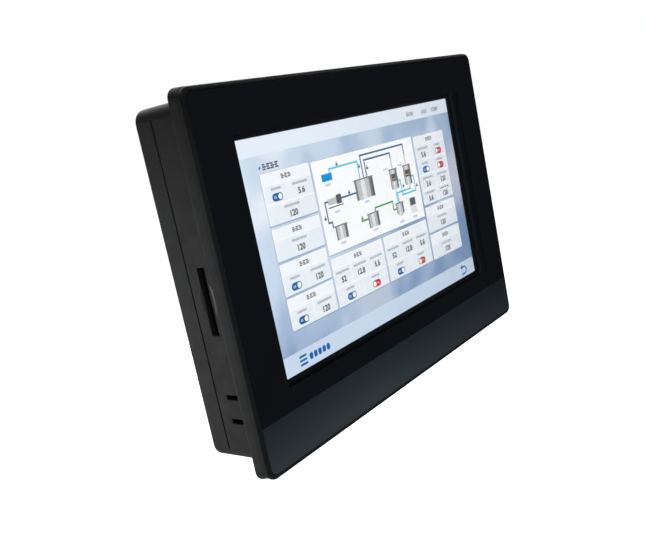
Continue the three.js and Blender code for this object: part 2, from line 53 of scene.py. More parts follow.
class Box:
    """A CAD node's lowest and highest corner at rest, in millimetres."""

    def __init__(self, node):
        low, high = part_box(node)
        self.x0, self.y0, self.z0 = (value / MM for value in low)
        self.x1, self.y1, self.z1 = (value / MM for value in high)
        self.x, self.y, self.z = [(a + b) / 2 / MM for a, b in zip(low, high)]
        self.width, self.depth, self.height = [(b - a) / MM for a, b in zip(low, high)]
        self.xz = (self.x, self.z)


# ---------------------------------------------------------------- shapes

# How a cross-section (u, v) at a distance t along an axis becomes a point.
PLACES = {
    "x": lambda t, u, v: (t, u, v),
    "y": lambda t, u, v: (u, t, v),
    "z": lambda t, u, v: (u, v, t),
}
BEYOND = 2.0


def rectangle(half_u, half_v, radius=0.05, centre=(0, 0), steps=6):
    """A rounded rectangle's points, anticlockwise."""
    points = []
    for i, (side_u, side_v) in enumerate(((1, 1), (-1, 1), (-1, -1), (1, -1))):
        u = centre[0] + side_u * (half_u - radius)
        v = centre[1] + side_v * (half_v - radius)
        for k in range(steps + 1):
            angle = math.radians(90 * (i + k / steps))
            points.append((u + radius * math.cos(angle), v + radius * math.sin(angle)))
    return points


def circle(radius, centre=(0, 0), steps=32, turn=0.0):
    points = []
    for k in range(steps):
        angle = turn + 2 * math.pi * k / steps
        points.append((centre[0] + radius * math.cos(angle), centre[1] + radius * math.sin(angle)))
    return points


def loft(axis, rings, closed=False):
    """A skin through rings (t, points) of equal count. It is capped unless it closes on itself."""
    shape = bmesh.new()
    place = PLACES[axis]
    rows = [[shape.verts.new(place(t, u, v)) for u, v in points] for t, points in rings]
    pairs = list(zip(rows, rows[1:]))
    if closed:
        pairs.append((rows[-1], rows[0]))
    else:
        shape.faces.new(rows[0])
        shape.faces.new(rows[-1])
    for near, far in pairs:
        for i in range(len(near)):
            j = (i + 1) % len(near)
            shape.faces.new((near[i], near[j], far[j], far[i]))
    bmesh.ops.recalc_face_normals(shape, faces=shape.faces)
    return shape


def rounding(radius, steps):
    """(inset, advance) pairs that turn a rim from its face to its side."""
    angles = [math.radians(90 * k / steps) for k in range(steps + 1)]
    return [(radius * (1 - math.sin(a)), radius * (1 - math.cos(a))) for a in angles]


def slab(axis, t0, t1, half_u, half_v, radius=0.3, centre=(0, 0), edge=0.15, steps=5):
    """A block with round corners whose two rims are rounded as well."""
    turn = rounding(edge, 3)
    rings = [(t0 + advance, inset) for inset, advance in turn]
    rings += [(t1 - advance, inset) for inset, advance in reversed(turn)]
    return loft(axis, [
        (t, rectangle(half_u - i, half_v - i, max(radius - i, 0.04), centre, steps)) for t, i in rings])


def block(x0, x1, y0, y1, z0, z1, radius=0.2, edge=0.12, axis="y", steps=4):
    """A rounded block from its six limits."""
    spans = {"x": (x0, x1, y0, y1, z0, z1), "y": (y0, y1, x0, x1, z0, z1), "z": (z0, z1, x0, x1, y0, y1)}
    t0, t1, u0, u1, v0, v1 = spans[axis]
    centre = ((u0 + u1) / 2, (v0 + v1) / 2)
    return slab(axis, t0, t1, (u1 - u0) / 2, (v1 - v0) / 2, radius, centre, edge, steps)


def filling(box, radius, edge, axis="y"):
    """A rounded block as large as a CAD node's box."""
    return block(box.x0, box.x1, box.y0, box.y1, box.z0, box.z1, radius, edge, axis, 5)


def around(middle, half):
    return middle - half, middle + half


def turned(axis, centre, profile, steps=32):
    """A turned shape from (t, radius) pairs."""
    return loft(axis, [(t, circle(radius, centre, steps)) for t, radius in profile])


def rod(axis, t0, t1, radius, centre, edge=0.15, steps=32):
    turn = rounding(edge, 3)
    profile = [(t0 + advance, radius - inset) for inset, advance in turn]
    profile += [(t1 - advance, radius - inset) for inset, advance in reversed(turn)]
    return turned(axis, centre, profile, steps)


def flared(axis, face, end, outline, flare=0.25):
    """A cutter from a surface at face to end, wider at the surface so that it leaves a chamfer.
    outline gives the points of the opening grown by its argument."""
    inward = 1 if end > face else -1
    return loft(axis, [
        (face - inward * BEYOND, outline(flare + BEYOND)),
        (face + inward * flare, outline(0)),
        (end, outline(0)),
    ])


def window(axis, face, end, half_u, half_v, radius, centre, flare=0.25, steps=5):
    return flared(axis, face, end, lambda grow: rectangle(
        half_u + grow, half_v + grow, radius + grow, centre, steps), flare)


def bore(axis, face, end, radius, centre, flare=0.25, steps=32):
    return flared(axis, face, end, lambda grow: circle(radius + grow, centre, steps), flare)


def mesh_of(shape, name="work"):
    mesh = bpy.data.meshes.new(name)
    shape.to_mesh(mesh)
    shape.free()
    return mesh


def shape_of(mesh):
    shape = bmesh.new()
    shape.from_mesh(mesh)
    bpy.data.meshes.remove(mesh)
    return shape


def joined(*parts):
    """One shape from several (shape, material number) pairs."""
    whole = bmesh.new()
    for part, number in parts:
        for face in part.faces:
            face.material_index = number
        mesh = mesh_of(part)
        whole.from_mesh(mesh)
        bpy.data.meshes.remove(mesh)
    return whole


def combined(shape, others, operation):
    """Joins or cuts a shape with others, one after another."""
    def stand_in(part):
        obj = bpy.data.objects.new("work", mesh_of(part))
        bpy.context.scene.collection.objects.link(obj)
        return obj

    target = stand_in(shape)
    tools = [stand_in(other) for other in others]
    for tool in tools:
        change = target.modifiers.new("change", "BOOLEAN")
        change.operation = operation
        change.solver = "EXACT"
        change.object = tool
    seen = target.evaluated_get(bpy.context.evaluated_depsgraph_get())
    result = bpy.data.meshes.new_from_object(seen)
    for obj in [target, *tools]:
        mesh = obj.data
        bpy.data.objects.remove(obj)
        bpy.data.meshes.remove(mesh)
    shape = shape_of(result)
    bmesh.ops.remove_doubles(shape, verts=shape.verts, dist=1e-4)
    bmesh.ops.dissolve_degenerate(shape, edges=shape.edges, dist=1e-4)
    return shape


def cut(shape, *cutters):
    return combined(shape, cutters, "DIFFERENCE")


def fused(shape, *others):
    return combined(shape, others, "UNION")


def smooth(mesh, sharp):
    mesh.shade_smooth()
    mesh.set_sharp_from_angle(angle=math.radians(sharp))


def even_normals(obj):
    """Keeps broad flat faces flat where they meet small roundings."""
    weighted = obj.modifiers.new("even_normals", "WEIGHTED_NORMAL")
    weighted.keep_sharp = True
    weighted.weight = 80


def piece(name, shape, materials, stands_for=(), body=BODY, sharp=38):
    """Makes a shape in millimetres a piece of the object, in metres, and puts it on its body."""
    mesh = mesh_of(shape, name)
    mesh.transform(Matrix.Scale(MM, 4))
    for material in materials:
        mesh.materials.append(material)
    smooth(mesh, sharp)
    obj = bpy.data.objects.new(name, mesh)
    bpy.context.scene.collection.objects.link(obj)
    even_normals(obj)
    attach(obj, body)
    if stands_for:
        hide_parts(*stands_for)


# ---------------------------------------------------------------- materials

# The sockets of a Mix node that mixes colours, by position.
MIX_SHARE, MIX_FIRST, MIX_SECOND, MIX_RESULT = 0, 6, 7, 2
# Most of a noise's values lie between these two.
PATCHES = (0.3, 0.7)


def srgb(red, green, blue):
    """A colour given in 0 to 255 as the screen shows it, in the renderer's linear values."""
    linear = []
    for value in (red, green, blue):
        share = value / 255
        linear.append(share / 12.92 if share <= 0.04045 else ((share + 0.055) / 1.055) ** 2.4)
    return (*linear, 1.0)


def grey(level):
    return (level, level, level, 1)


def shaded(colour, factor):
    return (*[min(channel * factor, 1.0) for channel in colour[:3]], 1.0)


def add_node(tree, kind, inputs, **settings):
    """Adds a node with its settings, and gives its sockets values or links from other nodes' outputs."""
    node = tree.nodes.new("ShaderNode" + kind)
    for name, value in settings.items():
        setattr(node, name, value)
    for name, value in inputs.items():
        if isinstance(value, bpy.types.NodeSocket):
            tree.links.new(value, node.inputs[name])
        else:
            node.inputs[name].default_value = value
    return node


def calculated(tree, operation, first, second):
    return add_node(tree, "Math", {0: first, 1: second}, operation=operation).outputs[0]


def spread(tree, value, low, high, at_low, at_high, interpolation="LINEAR"):
    """Turns the range from low to high into the range from at_low to at_high, and holds it beyond."""
    inputs = {"Value": value, "From Min": low, "From Max": high, "To Min": at_low, "To Max": at_high}
    return add_node(tree, "MapRange", inputs, interpolation_type=interpolation).outputs["Result"]


class Finish:
    """A material built up round one Principled shader. Coordinates are the object's own, in metres."""

    def __init__(self, name, colour, roughness, **sockets):
        self.material = bpy.data.materials.new(name)
        self.material.use_nodes = True
        self.tree = self.material.node_tree
        self.shader = self.tree.nodes["Principled BSDF"]
        self.place = self.tree.nodes.new("ShaderNodeTexCoord").outputs["Object"]
        self.fix(Base_Color=colour, Roughness=roughness, **sockets)

    def fix(self, **sockets):
        """Gives the shader's own sockets one value each; _ stands for a space in their names."""
        for socket, value in sockets.items():
            self.shader.inputs[socket.replace("_", " ")].default_value = value

    def link(self, socket, output):
        self.tree.links.new(output, self.shader.inputs[socket])

    def stretched(self, x, y, z):
        """Coordinates scaled differently along the axes, for grain with a direction."""
        return add_node(self.tree, "Mapping", {"Vector": self.place, "Scale": (x, y, z)}).outputs["Vector"]

    def noise(self, size, detail=2.0, rough=0.5, place=None, distortion=0.0):
        """Noise whose blotches are about size metres wide."""
        inputs = {"Vector": place or self.place, "Scale": 1 / size, "Detail": detail,
                  "Roughness": rough, "Distortion": distortion}
        return add_node(self.tree, "TexNoise", inputs).outputs["Fac"]

    def cells(self, size):
        inputs = {"Vector": self.place, "Scale": 1 / size}
        return add_node(self.tree, "TexVoronoi", inputs).outputs["Distance"]

    def ramp(self, value, stops, smooth_steps=False):
        node = add_node(self.tree, "ValToRGB", {"Fac": value})
        if smooth_steps:
            node.color_ramp.interpolation = "EASE"
        elements = node.color_ramp.elements
        while len(elements) < len(stops):
            elements.new(0.5)
        for element, (position, colour) in zip(elements, stops):
            element.position = position
            element.color = colour
        return node.outputs["Color"]

    def span(self, value, low, high, at_low=0.0, at_high=1.0):
        return spread(self.tree, value, low, high, at_low, at_high)

    def mixed(self, share, first, second, blend="MIX"):
        """Two colours, each an output or a value, mixed by an output or a number."""
        inputs = {MIX_SHARE: share, MIX_FIRST: first, MIX_SECOND: second}
        return add_node(self.tree, "Mix", inputs, data_type="RGBA", blend_type=blend).outputs[MIX_RESULT]

    def axis(self, letter):
        return add_node(self.tree, "SeparateXYZ", {"Vector": self.place}).outputs[letter]

    def blotches(self, colour, amount, patches):
        """The colour a little darker and lighter, as the patches go from low to high."""
        shades = (shaded(colour, 1 - amount), shaded(colour, 1 + amount))
        return self.ramp(patches, list(zip(PATCHES, shades)))

    def vary(self, colour, amount, size):
        self.link("Base Color", self.blotches(colour, amount, self.noise(size, 4.0, 0.6)))

    def vary_roughness(self, roughness, amount, size, place=None):
        patches = self.noise(size, 3.0, 0.6, place)
        self.link("Roughness", self.span(patches, *PATCHES, roughness - amount, roughness + amount))

    def bump(self, height, distance, strength, below=None):
        """Relief of a depth in metres, on top of the relief below where there is some."""
        inputs = {"Height": height, "Distance": distance, "Strength": strength}
        if below is not None:
            inputs["Normal"] = below
        normal = add_node(self.tree, "Bump", inputs).outputs["Normal"]
        self.link("Normal", normal)
        return normal

    def spark_eroded(self, roughness, grain, relief):
        """The skin of moulded plastic: fine pits over a slow waviness, slightly uneven in shine."""
        self.vary_roughness(roughness, 0.05, 0.006)
        slow = self.bump(self.noise(0.009, 1.0), relief * 2, 0.35)
        self.bump(self.noise(grain, 3.0, 0.65), relief, 0.8, slow)


def moulded(name, colour, roughness, grain, relief, amount=0.07):
    """Moulded plastic, slightly uneven in tone."""
    finish = Finish(name, colour, roughness)
    finish.vary(colour, amount, 0.012)
    finish.spark_eroded(roughness, grain, relief)
    return finish.material


# Painted shade on the casing: how light its colour is kept at places between two heights, darkest towards the
# top and a little darker towards the bottom.
PAINTED_SHADE_HEIGHTS = (-0.07, 0.07)
PAINTED_SHADE_BY_HEIGHT = [(0.0, 0.84), (0.13, 0.87), (0.39, 0.93), (0.72, 1.0), (0.9, 0.66), (1.0, 0.4)]
CASING_ROUGHNESS = 0.52


def casing_plastic(name, colour):
    """The casing's black plastic, with painted shade that darkens it towards the panel's top."""
    finish = Finish(name, colour, CASING_ROUGHNESS)
    upward = finish.span(finish.axis("Z"), *PAINTED_SHADE_HEIGHTS)
    # Painted shade: the colour is darkened by height, most near the top.
    painted_shade = finish.ramp(upward, [(place, grey(level)) for place, level in PAINTED_SHADE_BY_HEIGHT])
    mottle = finish.blotches(colour, 0.07, finish.noise(0.012))
    finish.link("Base Color", finish.mixed(1.0, mottle, painted_shade, "MULTIPLY"))
    finish.spark_eroded(CASING_ROUGHNESS, 0.00035, 0.000012)
    return finish.material


def metal(name, colour, roughness, grain=(1.0, 1.0, 12.0), amount=0.08):
    """Plated or rolled metal with a fine directional grain."""
    finish = Finish(name, colour, roughness, Metallic=1.0)
    finish.vary(colour, amount, 0.004)
    place = finish.stretched(*grain)
    finish.vary_roughness(roughness, 0.08, 0.0012, place)
    finish.bump(finish.noise(0.0006, 3.0, 0.6, place), 0.000006, 0.6)
    return finish.material


def rubber(name, colour, roughness, pores=0.0004):
    """Rubber or closed-cell foam: dull, with fine pores."""
    finish = Finish(name, colour, roughness)
    finish.vary(colour, 0.15, 0.003)
    finish.vary_roughness(roughness, 0.08, 0.002)
    finish.bump(finish.cells(pores), 0.00002, 0.7)
    return finish.material


# Painted light on the band: how light it is made from left to right, brightest a little left of the middle,
# at places between two distances from the middle.
BAND_WIDTH = (-0.1, 0.1)
BAND_PAINTED_FALLOFF = [(0.0, 0.86), (0.35, 1.0), (1.0, 0.6)]


def print_on_film(name, colour, lower=None, edge_z=(0.0, 0.0), roughness=0.2):
    """Ink behind a hard-coated film. With lower, the colour turns to that one down the film, and painted
    light falls off across it from left to right.
    """
    finish = Finish(name, colour, roughness, Coat_Weight=0.25, Coat_Roughness=0.08, IOR=1.49)
    if lower is None:
        finish.vary(colour, 0.06, 0.02)
    else:
        down = finish.span(finish.axis("Z"), *edge_z)
        graded = finish.ramp(down, [(0.0, colour), (1.0, lower)], smooth_steps=True)
        cloud = finish.ramp(finish.noise(0.03, 3.0, 0.6), list(zip(PATCHES, (grey(0.94), grey(1.0)))))
        # Painted light: the band is lightest a little left of the middle and darker towards its ends.
        sideways = finish.span(finish.axis("X"), *BAND_WIDTH)
        painted_falloff = finish.ramp(sideways, [(place, grey(level)) for place, level in BAND_PAINTED_FALLOFF])
        # Random clouds of tone, multiplied by the painted light.
        light = finish.mixed(1.0, cloud, painted_falloff, "MULTIPLY")
        finish.link("Base Color", finish.mixed(1.0, graded, light, "MULTIPLY"))
    finish.vary_roughness(roughness, 0.03, 0.02)
    slow = finish.bump(finish.noise(0.012, 1.0), 0.000006, 0.3)
    finish.bump(finish.noise(0.0003), 0.0000012, 0.5, slow)
    return finish.material


def clear(name, tint, roughness=0.02, ior=1.5):
    finish = Finish(name, tint, roughness, Transmission_Weight=1.0, IOR=ior)
    finish.vary(tint, 0.01, 0.03)
    finish.vary_roughness(roughness, 0.008, 0.02)
    finish.bump(finish.noise(0.02, 1.0), 0.000002, 0.2)
    return finish.material


def circuit_board(name, mask, copper):
    """Solder mask over fine copper tracks."""
    finish = Finish(name, mask, 0.35, Coat_Weight=0.3, Coat_Roughness=0.2)
    upright = add_node(finish.tree, "Mapping", {"Vector": finish.place, "Rotation": (math.radians(90), 0, 0)})
    tracks = add_node(finish.tree, "TexBrick", {
        "Vector": upright.outputs["Vector"], "Scale": 260.0, "Mortar Size": 0.09, "Mortar Smooth": 0.3,
        "Color1": mask, "Color2": shaded(mask, 1.15), "Mortar": copper})
    patches = finish.ramp(finish.noise(0.01), [(0.42, grey(0)), (0.5, grey(1))])
    finish.link("Base Color", finish.mixed(patches, mask, tracks.outputs["Color"]))
    finish.vary_roughness(0.35, 0.06, 0.004)
    finish.bump(tracks.outputs["Fac"], 0.00002, 0.3)
    return finish.material


SCREEN_GAIN = 1.3


def switched_on(name):
    """The dark face of the display, ready to be given the colour that it sends out."""
    return Finish(name, (0.01, 0.01, 0.012, 1), 0.4, Emission_Strength=SCREEN_GAIN)


def lit(name, colour):
    """A colour of the lit display, with the slight unevenness of its backlight."""
    finish = switched_on(name)
    finish.link("Emission Color", finish.blotches(colour, 0.02, finish.noise(0.04, 1.0)))
    return finish.material


def lit_backdrop(name):
    """The soft-focus backdrop of the display: pale and slate blue clouds, paler at the left and the top."""
    finish = switched_on(name)
    half_x, half_z = PICTURE["width"] / 2, PICTURE["height"] / 2
    place = finish.stretched(1.0, 1.0, 0.75)
    cloud = finish.noise(0.036, 2.0, 0.45, place, 0.6)
    left, right = (PICTURE["x"] - half_x) * MM, (PICTURE["x"] + half_x) * MM
    low, high = (SCREEN_Z - half_z) * MM, (SCREEN_Z + half_z) * MM
    across = finish.span(finish.axis("X"), left, right, 0.20, -0.12)
    up = finish.span(finish.axis("Z"), low, high, -0.16, 0.12)
    level = calculated(finish.tree, "ADD", cloud, calculated(finish.tree, "ADD", across, up))
    blue = finish.ramp(level, [
        (0.30, srgb(122, 147, 184)), (0.48, srgb(160, 180, 208)),
        (0.66, srgb(196, 211, 230)), (0.90, srgb(226, 233, 241))], smooth_steps=True)
    warm = finish.ramp(finish.noise(0.05, 1.0, 0.5, place), [(0.60, grey(0)), (0.78, grey(0.5))])
    finish.link("Emission Color", finish.mixed(warm, blue, srgb(228, 214, 214)))
    return finish.material


def with_painted_glow(material):
    """Adds a painted glow, an emission that stands in for the little light that comes through the touch
    glass, which casts a full shadow here.
    """
    shader = next(node for node in material.node_tree.nodes if node.type == "BSDF_PRINCIPLED")
    shader.inputs["Emission Color"].default_value = (0.0016, 0.0031, 0.0048, 1)
    shader.inputs["Emission Strength"].default_value = 1.0
    return material


def signal_lamp(name, colour):
    """The small lens of a signal lamp."""
    finish = Finish(name, colour, 0.25, Coat_Weight=0.3)
    finish.vary(colour, 0.05, 0.001)
    return finish.material


casing = casing_plastic("casing", srgb(53, 55, 54))
cover_casing = casing_plastic("cover_casing", srgb(52, 54, 54))
# A darker, slightly bluer copy of the casing plastic: painted shade on the bezel's side and rim, which turn
# away from the light towards the front.
bezel_shaded = casing_plastic("bezel_shaded", srgb(49, 51, 54))
# The thumb recess: glossier plastic, which is real, in a slightly lighter colour than the casing, which is
# painted light where the recess faces the light.
scoop_gloss_and_light = moulded("scoop_gloss_and_light", srgb(55, 57, 56), 0.42, 0.0004, 0.000004)
black_print = print_on_film("black_print", srgb(34, 39, 47))
steel = metal("steel", srgb(178, 180, 183), 0.3)
zinc = metal("zinc", srgb(196, 198, 202), 0.24, (1, 1, 1))
dark_steel = metal("dark_steel", srgb(70, 72, 76), 0.42)
aluminium = metal("aluminium", srgb(168, 171, 176), 0.36, (1, 1, 10))
gold = metal("gold", srgb(212, 170, 90), 0.22, (1, 1, 1))
seal = rubber("seal", srgb(38, 38, 40), 0.72)
# The foam is lighter than its real black and glows faintly: painted light in place of the light that the
# touch glass's shadow keeps off it.
foam = with_painted_glow(rubber("foam", srgb(27, 32, 38), 0.9, 0.0003))
flex = print_on_film("flex", srgb(176, 104, 38), roughness=0.3)
board_green = circuit_board("board_green", srgb(20, 84, 52), srgb(70, 128, 84))
chip_black = moulded("chip_black", srgb(34, 35, 37), 0.45, 0.0002, 0.000006)
terminal_green = moulded("terminal_green", srgb(38, 120, 70), 0.42, 0.0003, 0.00001)
port_black = moulded("port_black", srgb(30, 30, 33), 0.4, 0.0003, 0.000008)
white_plastic = moulded("white_plastic", srgb(226, 226, 220), 0.4, 0.0003, 0.000006, 0.02)
red_plastic = moulded("red_plastic", srgb(170, 34, 32), 0.4, 0.0003, 0.000008)
diffuser = moulded("diffuser", srgb(228, 230, 228), 0.5, 0.0004, 0.000008, 0.02)
label_silver = metal("label_silver", srgb(188, 191, 194), 0.42, (14, 1, 1), 0.03)
label_ink = moulded("label_ink", srgb(40, 42, 46), 0.5, 0.0002, 0.000002)
glass = clear("glass", (0.98, 1.0, 0.99, 1))
clear_film = clear("clear_film", grey(1.0), 0.03, 1.49)
# The display's black border is lighter than its real black and has the same painted glow, in place of the
# light kept off by the touch glass's shadow.
display_black = with_painted_glow(print_on_film("display_black", srgb(38, 43, 50), roughness=0.3))
lamp_green = signal_lamp("lamp_green", srgb(70, 150, 84))
lamp_amber = signal_lamp("lamp_amber", srgb(205, 140, 50))

bezel = Box("front_housing")
film_box = Box("front_film")
cell = Box("lcd_cell")
cover_box = Box("rear_cover")

# ---------------------------------------------------------------- front housing

# Steps round each corner of the large outlines.
ARC = 8
SCREEN_Z = cell.z
# Half sizes, corner radii and heights of the middle. The flange, the waist and the rim make the bezel's
# side, from rear to front.
HOUSING = {"half_x": 96.0, "half_z": 66.45, "corner": 5.2, "z": 0.4, "wall": 2.2}
FLANGE = {"half_x": 100.7, "half_z": 70.45, "corner": 3.8, "z": -0.05}
WAIST = {"half_x": 100.65, "half_z": 69.95, "corner": 4.0, "z": 0.1}
RIM = {"half_x": 100.6, "half_z": 70.0, "corner": 4.2, "z": -0.25}
RIM_FILLET = 1.2
FILM_CORNER = 3.2
FRONT_Y, PARTING_Y = bezel.y0, bezel.y1
COVER_START = PARTING_Y + 0.12
SEAM_DEPTH, SEAM_RUN = 0.7, 0.3


def section(part, inset):
    """A cross-section of the housing, the flange, the waist or the rim, brought in by an inset."""
    radius = max(part["corner"] - inset, 0.5)
    return rectangle(part["half_x"] - inset, part["half_z"] - inset, radius, (0, part["z"]), ARC)


def housing_outline(inset):
    return section(HOUSING, inset)


def seam_outline():
    """The cross-section at the parting line: a groove along each side that dies out in the corners."""
    flush, sunk = housing_outline(0), housing_outline(SEAM_DEPTH)
    return [sunk[i] if i % (ARC + 1) in (0, ARC) else flush[i] for i in range(len(flush))]


def screen_outline(half_x, half_z, radius, x=0.0):
    return rectangle(half_x, half_z, radius, (x, SCREEN_Z), ARC)


def film_outline(inset):
    half_x, half_z = film_box.width / 2 - inset, film_box.height / 2 - inset
    return rectangle(half_x, half_z, FILM_CORNER - inset, (0, film_box.z), ARC)


# Ports along the bottom: centre, width, and how deep each opening runs.
PORT_WINDOWS = [
    ("power_header", 18.1, 10.7, 20.5),
    ("usb_device_port", 12.6, 10.3, 21.9),
    ("usb_host_port", 15.2, 10.3, 18.1),
    ("ethernet_jack", 16.6, 10.3, 22.7),
]
SERIAL_PORTS = [Box("serial_port_1"), Box("serial_port_2")]
SERIAL_Y = 16.8
SERIAL_SCREW = 12.5
SCREW_HOLE = 1.75
BOTTOM, TOP = around(HOUSING["z"], HOUSING["half_z"])
LEFT = -HOUSING["half_x"]
PORT_DEPTH = 6


def serial_outline(x, grow):
    """The rounded D of a nine-pole connector, wide side to the rear, as (x, y) points."""
    wide, narrow, half, radius = 8.3 + grow, 7.0 + grow, 3.95 + grow, 1.6 + grow
    corners = [(wide, half), (-wide, half), (-narrow, -half), (narrow, -half)]
    points = []
    for i, (u, v) in enumerate(corners):
        before, after = Vector(corners[i - 1]), Vector(corners[(i + 1) % 4])
        corner = Vector((u, v))
        to_before, to_after = (before - corner).normalized(), (after - corner).normalized()
        middle = (to_before + to_after).normalized()
        half_angle = to_before.angle(to_after) / 2
        centre = corner + middle * radius / math.sin(half_angle)
        start = (corner + to_before * radius / math.tan(half_angle)) - centre
        end = (corner + to_after * radius / math.tan(half_angle)) - centre
        sweep = start.angle_signed(end)
        for k in range(6):
            spoke = start.copy()
            spoke.rotate(Matrix.Rotation(-sweep * k / 5, 2))
            points.append((x + centre.x + spoke.x, SERIAL_Y + centre.y + spoke.y))
    return points


def port_cutters():
    """Everything that opens the bottom wall, cut from both shells across the parting line."""
    cutters = []
    end, inner = BOTTOM + PORT_DEPTH, BOTTOM + HOUSING["wall"]
    for node, width, y0, y1 in PORT_WINDOWS:
        centre = (Box(node).x, (y0 + y1) / 2)
        cutters.append(window("z", BOTTOM, end, width / 2, (y1 - y0) / 2, 0.5, centre))
    for box in SERIAL_PORTS:
        cutters.append(flared("z", BOTTOM, end, lambda grow, x=box.x: serial_outline(x, 0.6 + grow)))
        cutters.append(block(*around(box.x, 15.8), 10.2, 23.0, inner, inner + 4, 0.3))
        for side in (-1, 1):
            cutters.append(bore("z", BOTTOM, end, SCREW_HOLE, (box.x + side * SERIAL_SCREW, SERIAL_Y)))
    return cutters


CLAMP_Y, CLAMP_HALF_LENGTH, CLAMP_HALF_HEIGHT, CLAMP_STEP = 8.1, 2.8, 0.925, 4.7
CLAMP_Z, CLAMP_X = -45.1, 66.0
CLAMP_CORNER, CLAMP_FLARE = 0.25, 0.12


def clamp_cutters():
    """Pairs of small slots for the mounting clamps' hooks."""
    cutters = []
    for side in (-1, 1):
        face = side * HOUSING["half_x"]
        for step in (-CLAMP_STEP, CLAMP_STEP):
            cutters.append(window("x", face, face - side * 4, CLAMP_HALF_LENGTH, CLAMP_HALF_HEIGHT,
                                  CLAMP_CORNER, (CLAMP_Y, CLAMP_Z + step), CLAMP_FLARE))
            for edge, inward in ((TOP, -1), (BOTTOM, 1)):
                cutters.append(window("z", edge, edge + inward * 3.5, CLAMP_HALF_HEIGHT, CLAMP_HALF_LENGTH,
                                      CLAMP_CORNER, (side * CLAMP_X + step, CLAMP_Y), CLAMP_FLARE))
    return cutters


CARD_SLOT = {"y": 8.8, "z": -4.0, "half_z": 12.7, "half_y": 1.9}
SCOOP = {"z": -3.7, "half_z": 7.2, "rear": 13.0, "lowest": 7.6, "front": 4.1, "depth": 0.95}
# Shares of the way from the scoop's edge to its lowest line, each with the share of its depth there.
RAMP = [(0.25, 0.14), (0.5, 0.42), (0.75, 0.78), (1.0, 1.0)]
WALL = [(0.75, 0.9), (0.5, 0.66), (0.25, 0.35)]
SCOOP_SECTIONS, SCOOP_REACH, SCOOP_EDGE = 29, 0.995, 0.01


def finger_scoop():
    """A thumb recess: a long shallow ramp from the rear that ends in a steeper curved wall at the front."""
    middle, sections = CARD_SLOT["y"], []
    for k in range(SCOOP_SECTIONS):
        along = SCOOP_REACH * (2 * k / (SCOOP_SECTIONS - 1) - 1)
        share = math.sqrt(1 - along * along)
        lines = ("rear", "lowest", "front")
        rear, lowest, front = (middle + (SCOOP[line] - middle) * share for line in lines)
        depth = SCOOP["depth"] * share
        outline = [(LEFT - 1, rear + 0.05), (LEFT - SCOOP_EDGE, rear)]
        outline += [(LEFT + depth * part, rear + (lowest - rear) * way) for way, part in RAMP]
        outline += [(LEFT + depth * part, front + (lowest - front) * way) for way, part in WALL]
        outline += [(LEFT - SCOOP_EDGE, front), (LEFT - 1, front - 0.05)]
        sections.append((SCOOP["z"] + along * SCOOP["half_z"], outline))
    return loft("z", sections)


def card_cutters():
    centre = (CARD_SLOT["y"], CARD_SLOT["z"])
    slot = window("x", LEFT, LEFT + 4, CARD_SLOT["half_y"], CARD_SLOT["half_z"], 0.35, centre, 0.12)
    return [slot, finger_scoop()]


def within_flange(point):
    """True for the faces inside the housing walls and under the gasket, which keep the casing's colour rather
    than the bezel's painted shade.
    """
    beside = abs(point.x) < HOUSING["half_x"] + 3
    level = abs(point.z - HOUSING["z"]) < HOUSING["half_z"] + 2.6
    return beside and level and point.y > FRONT_Y + 0.5


def in_scoop(point):
    beside = LEFT + 0.004 < point.x < LEFT + SCOOP["depth"] + 0.01
    level = abs(point.z - SCOOP["z"]) < SCOOP["half_z"]
    return beside and level and SCOOP["front"] < point.y < SCOOP["rear"]


BOARD_SCREWS = [Box(f"board_screw_{i}") for i in (1, 2, 3, 4)]
COVER_SCREWS = [Box(f"cover_screw_{i}") for i in (1, 2, 3, 4)]
FILM_SEAT, GLASS_SEAT, PLATE_REAR = -6.3, -4.8, -3.2
LCD_OPENING, GLASS_POCKET = (83.1, 50.6, 0.5), (86.3, 54.3, 1.0)
GASKET_GROOVE = {"outer": -2.4, "inner": -0.6, "floor": -1.4}
BOARD_BOSS = {"end": 1.7, "radius": 3.2, "edge": 0.1, "hole": 1.5, "floor": -4.3}
COVER_BOSS = {"end": 14, "radius": 3.6, "edge": 0.2, "hole": SCREW_HOLE, "floor": 6}
FILM_EDGE = 0.15


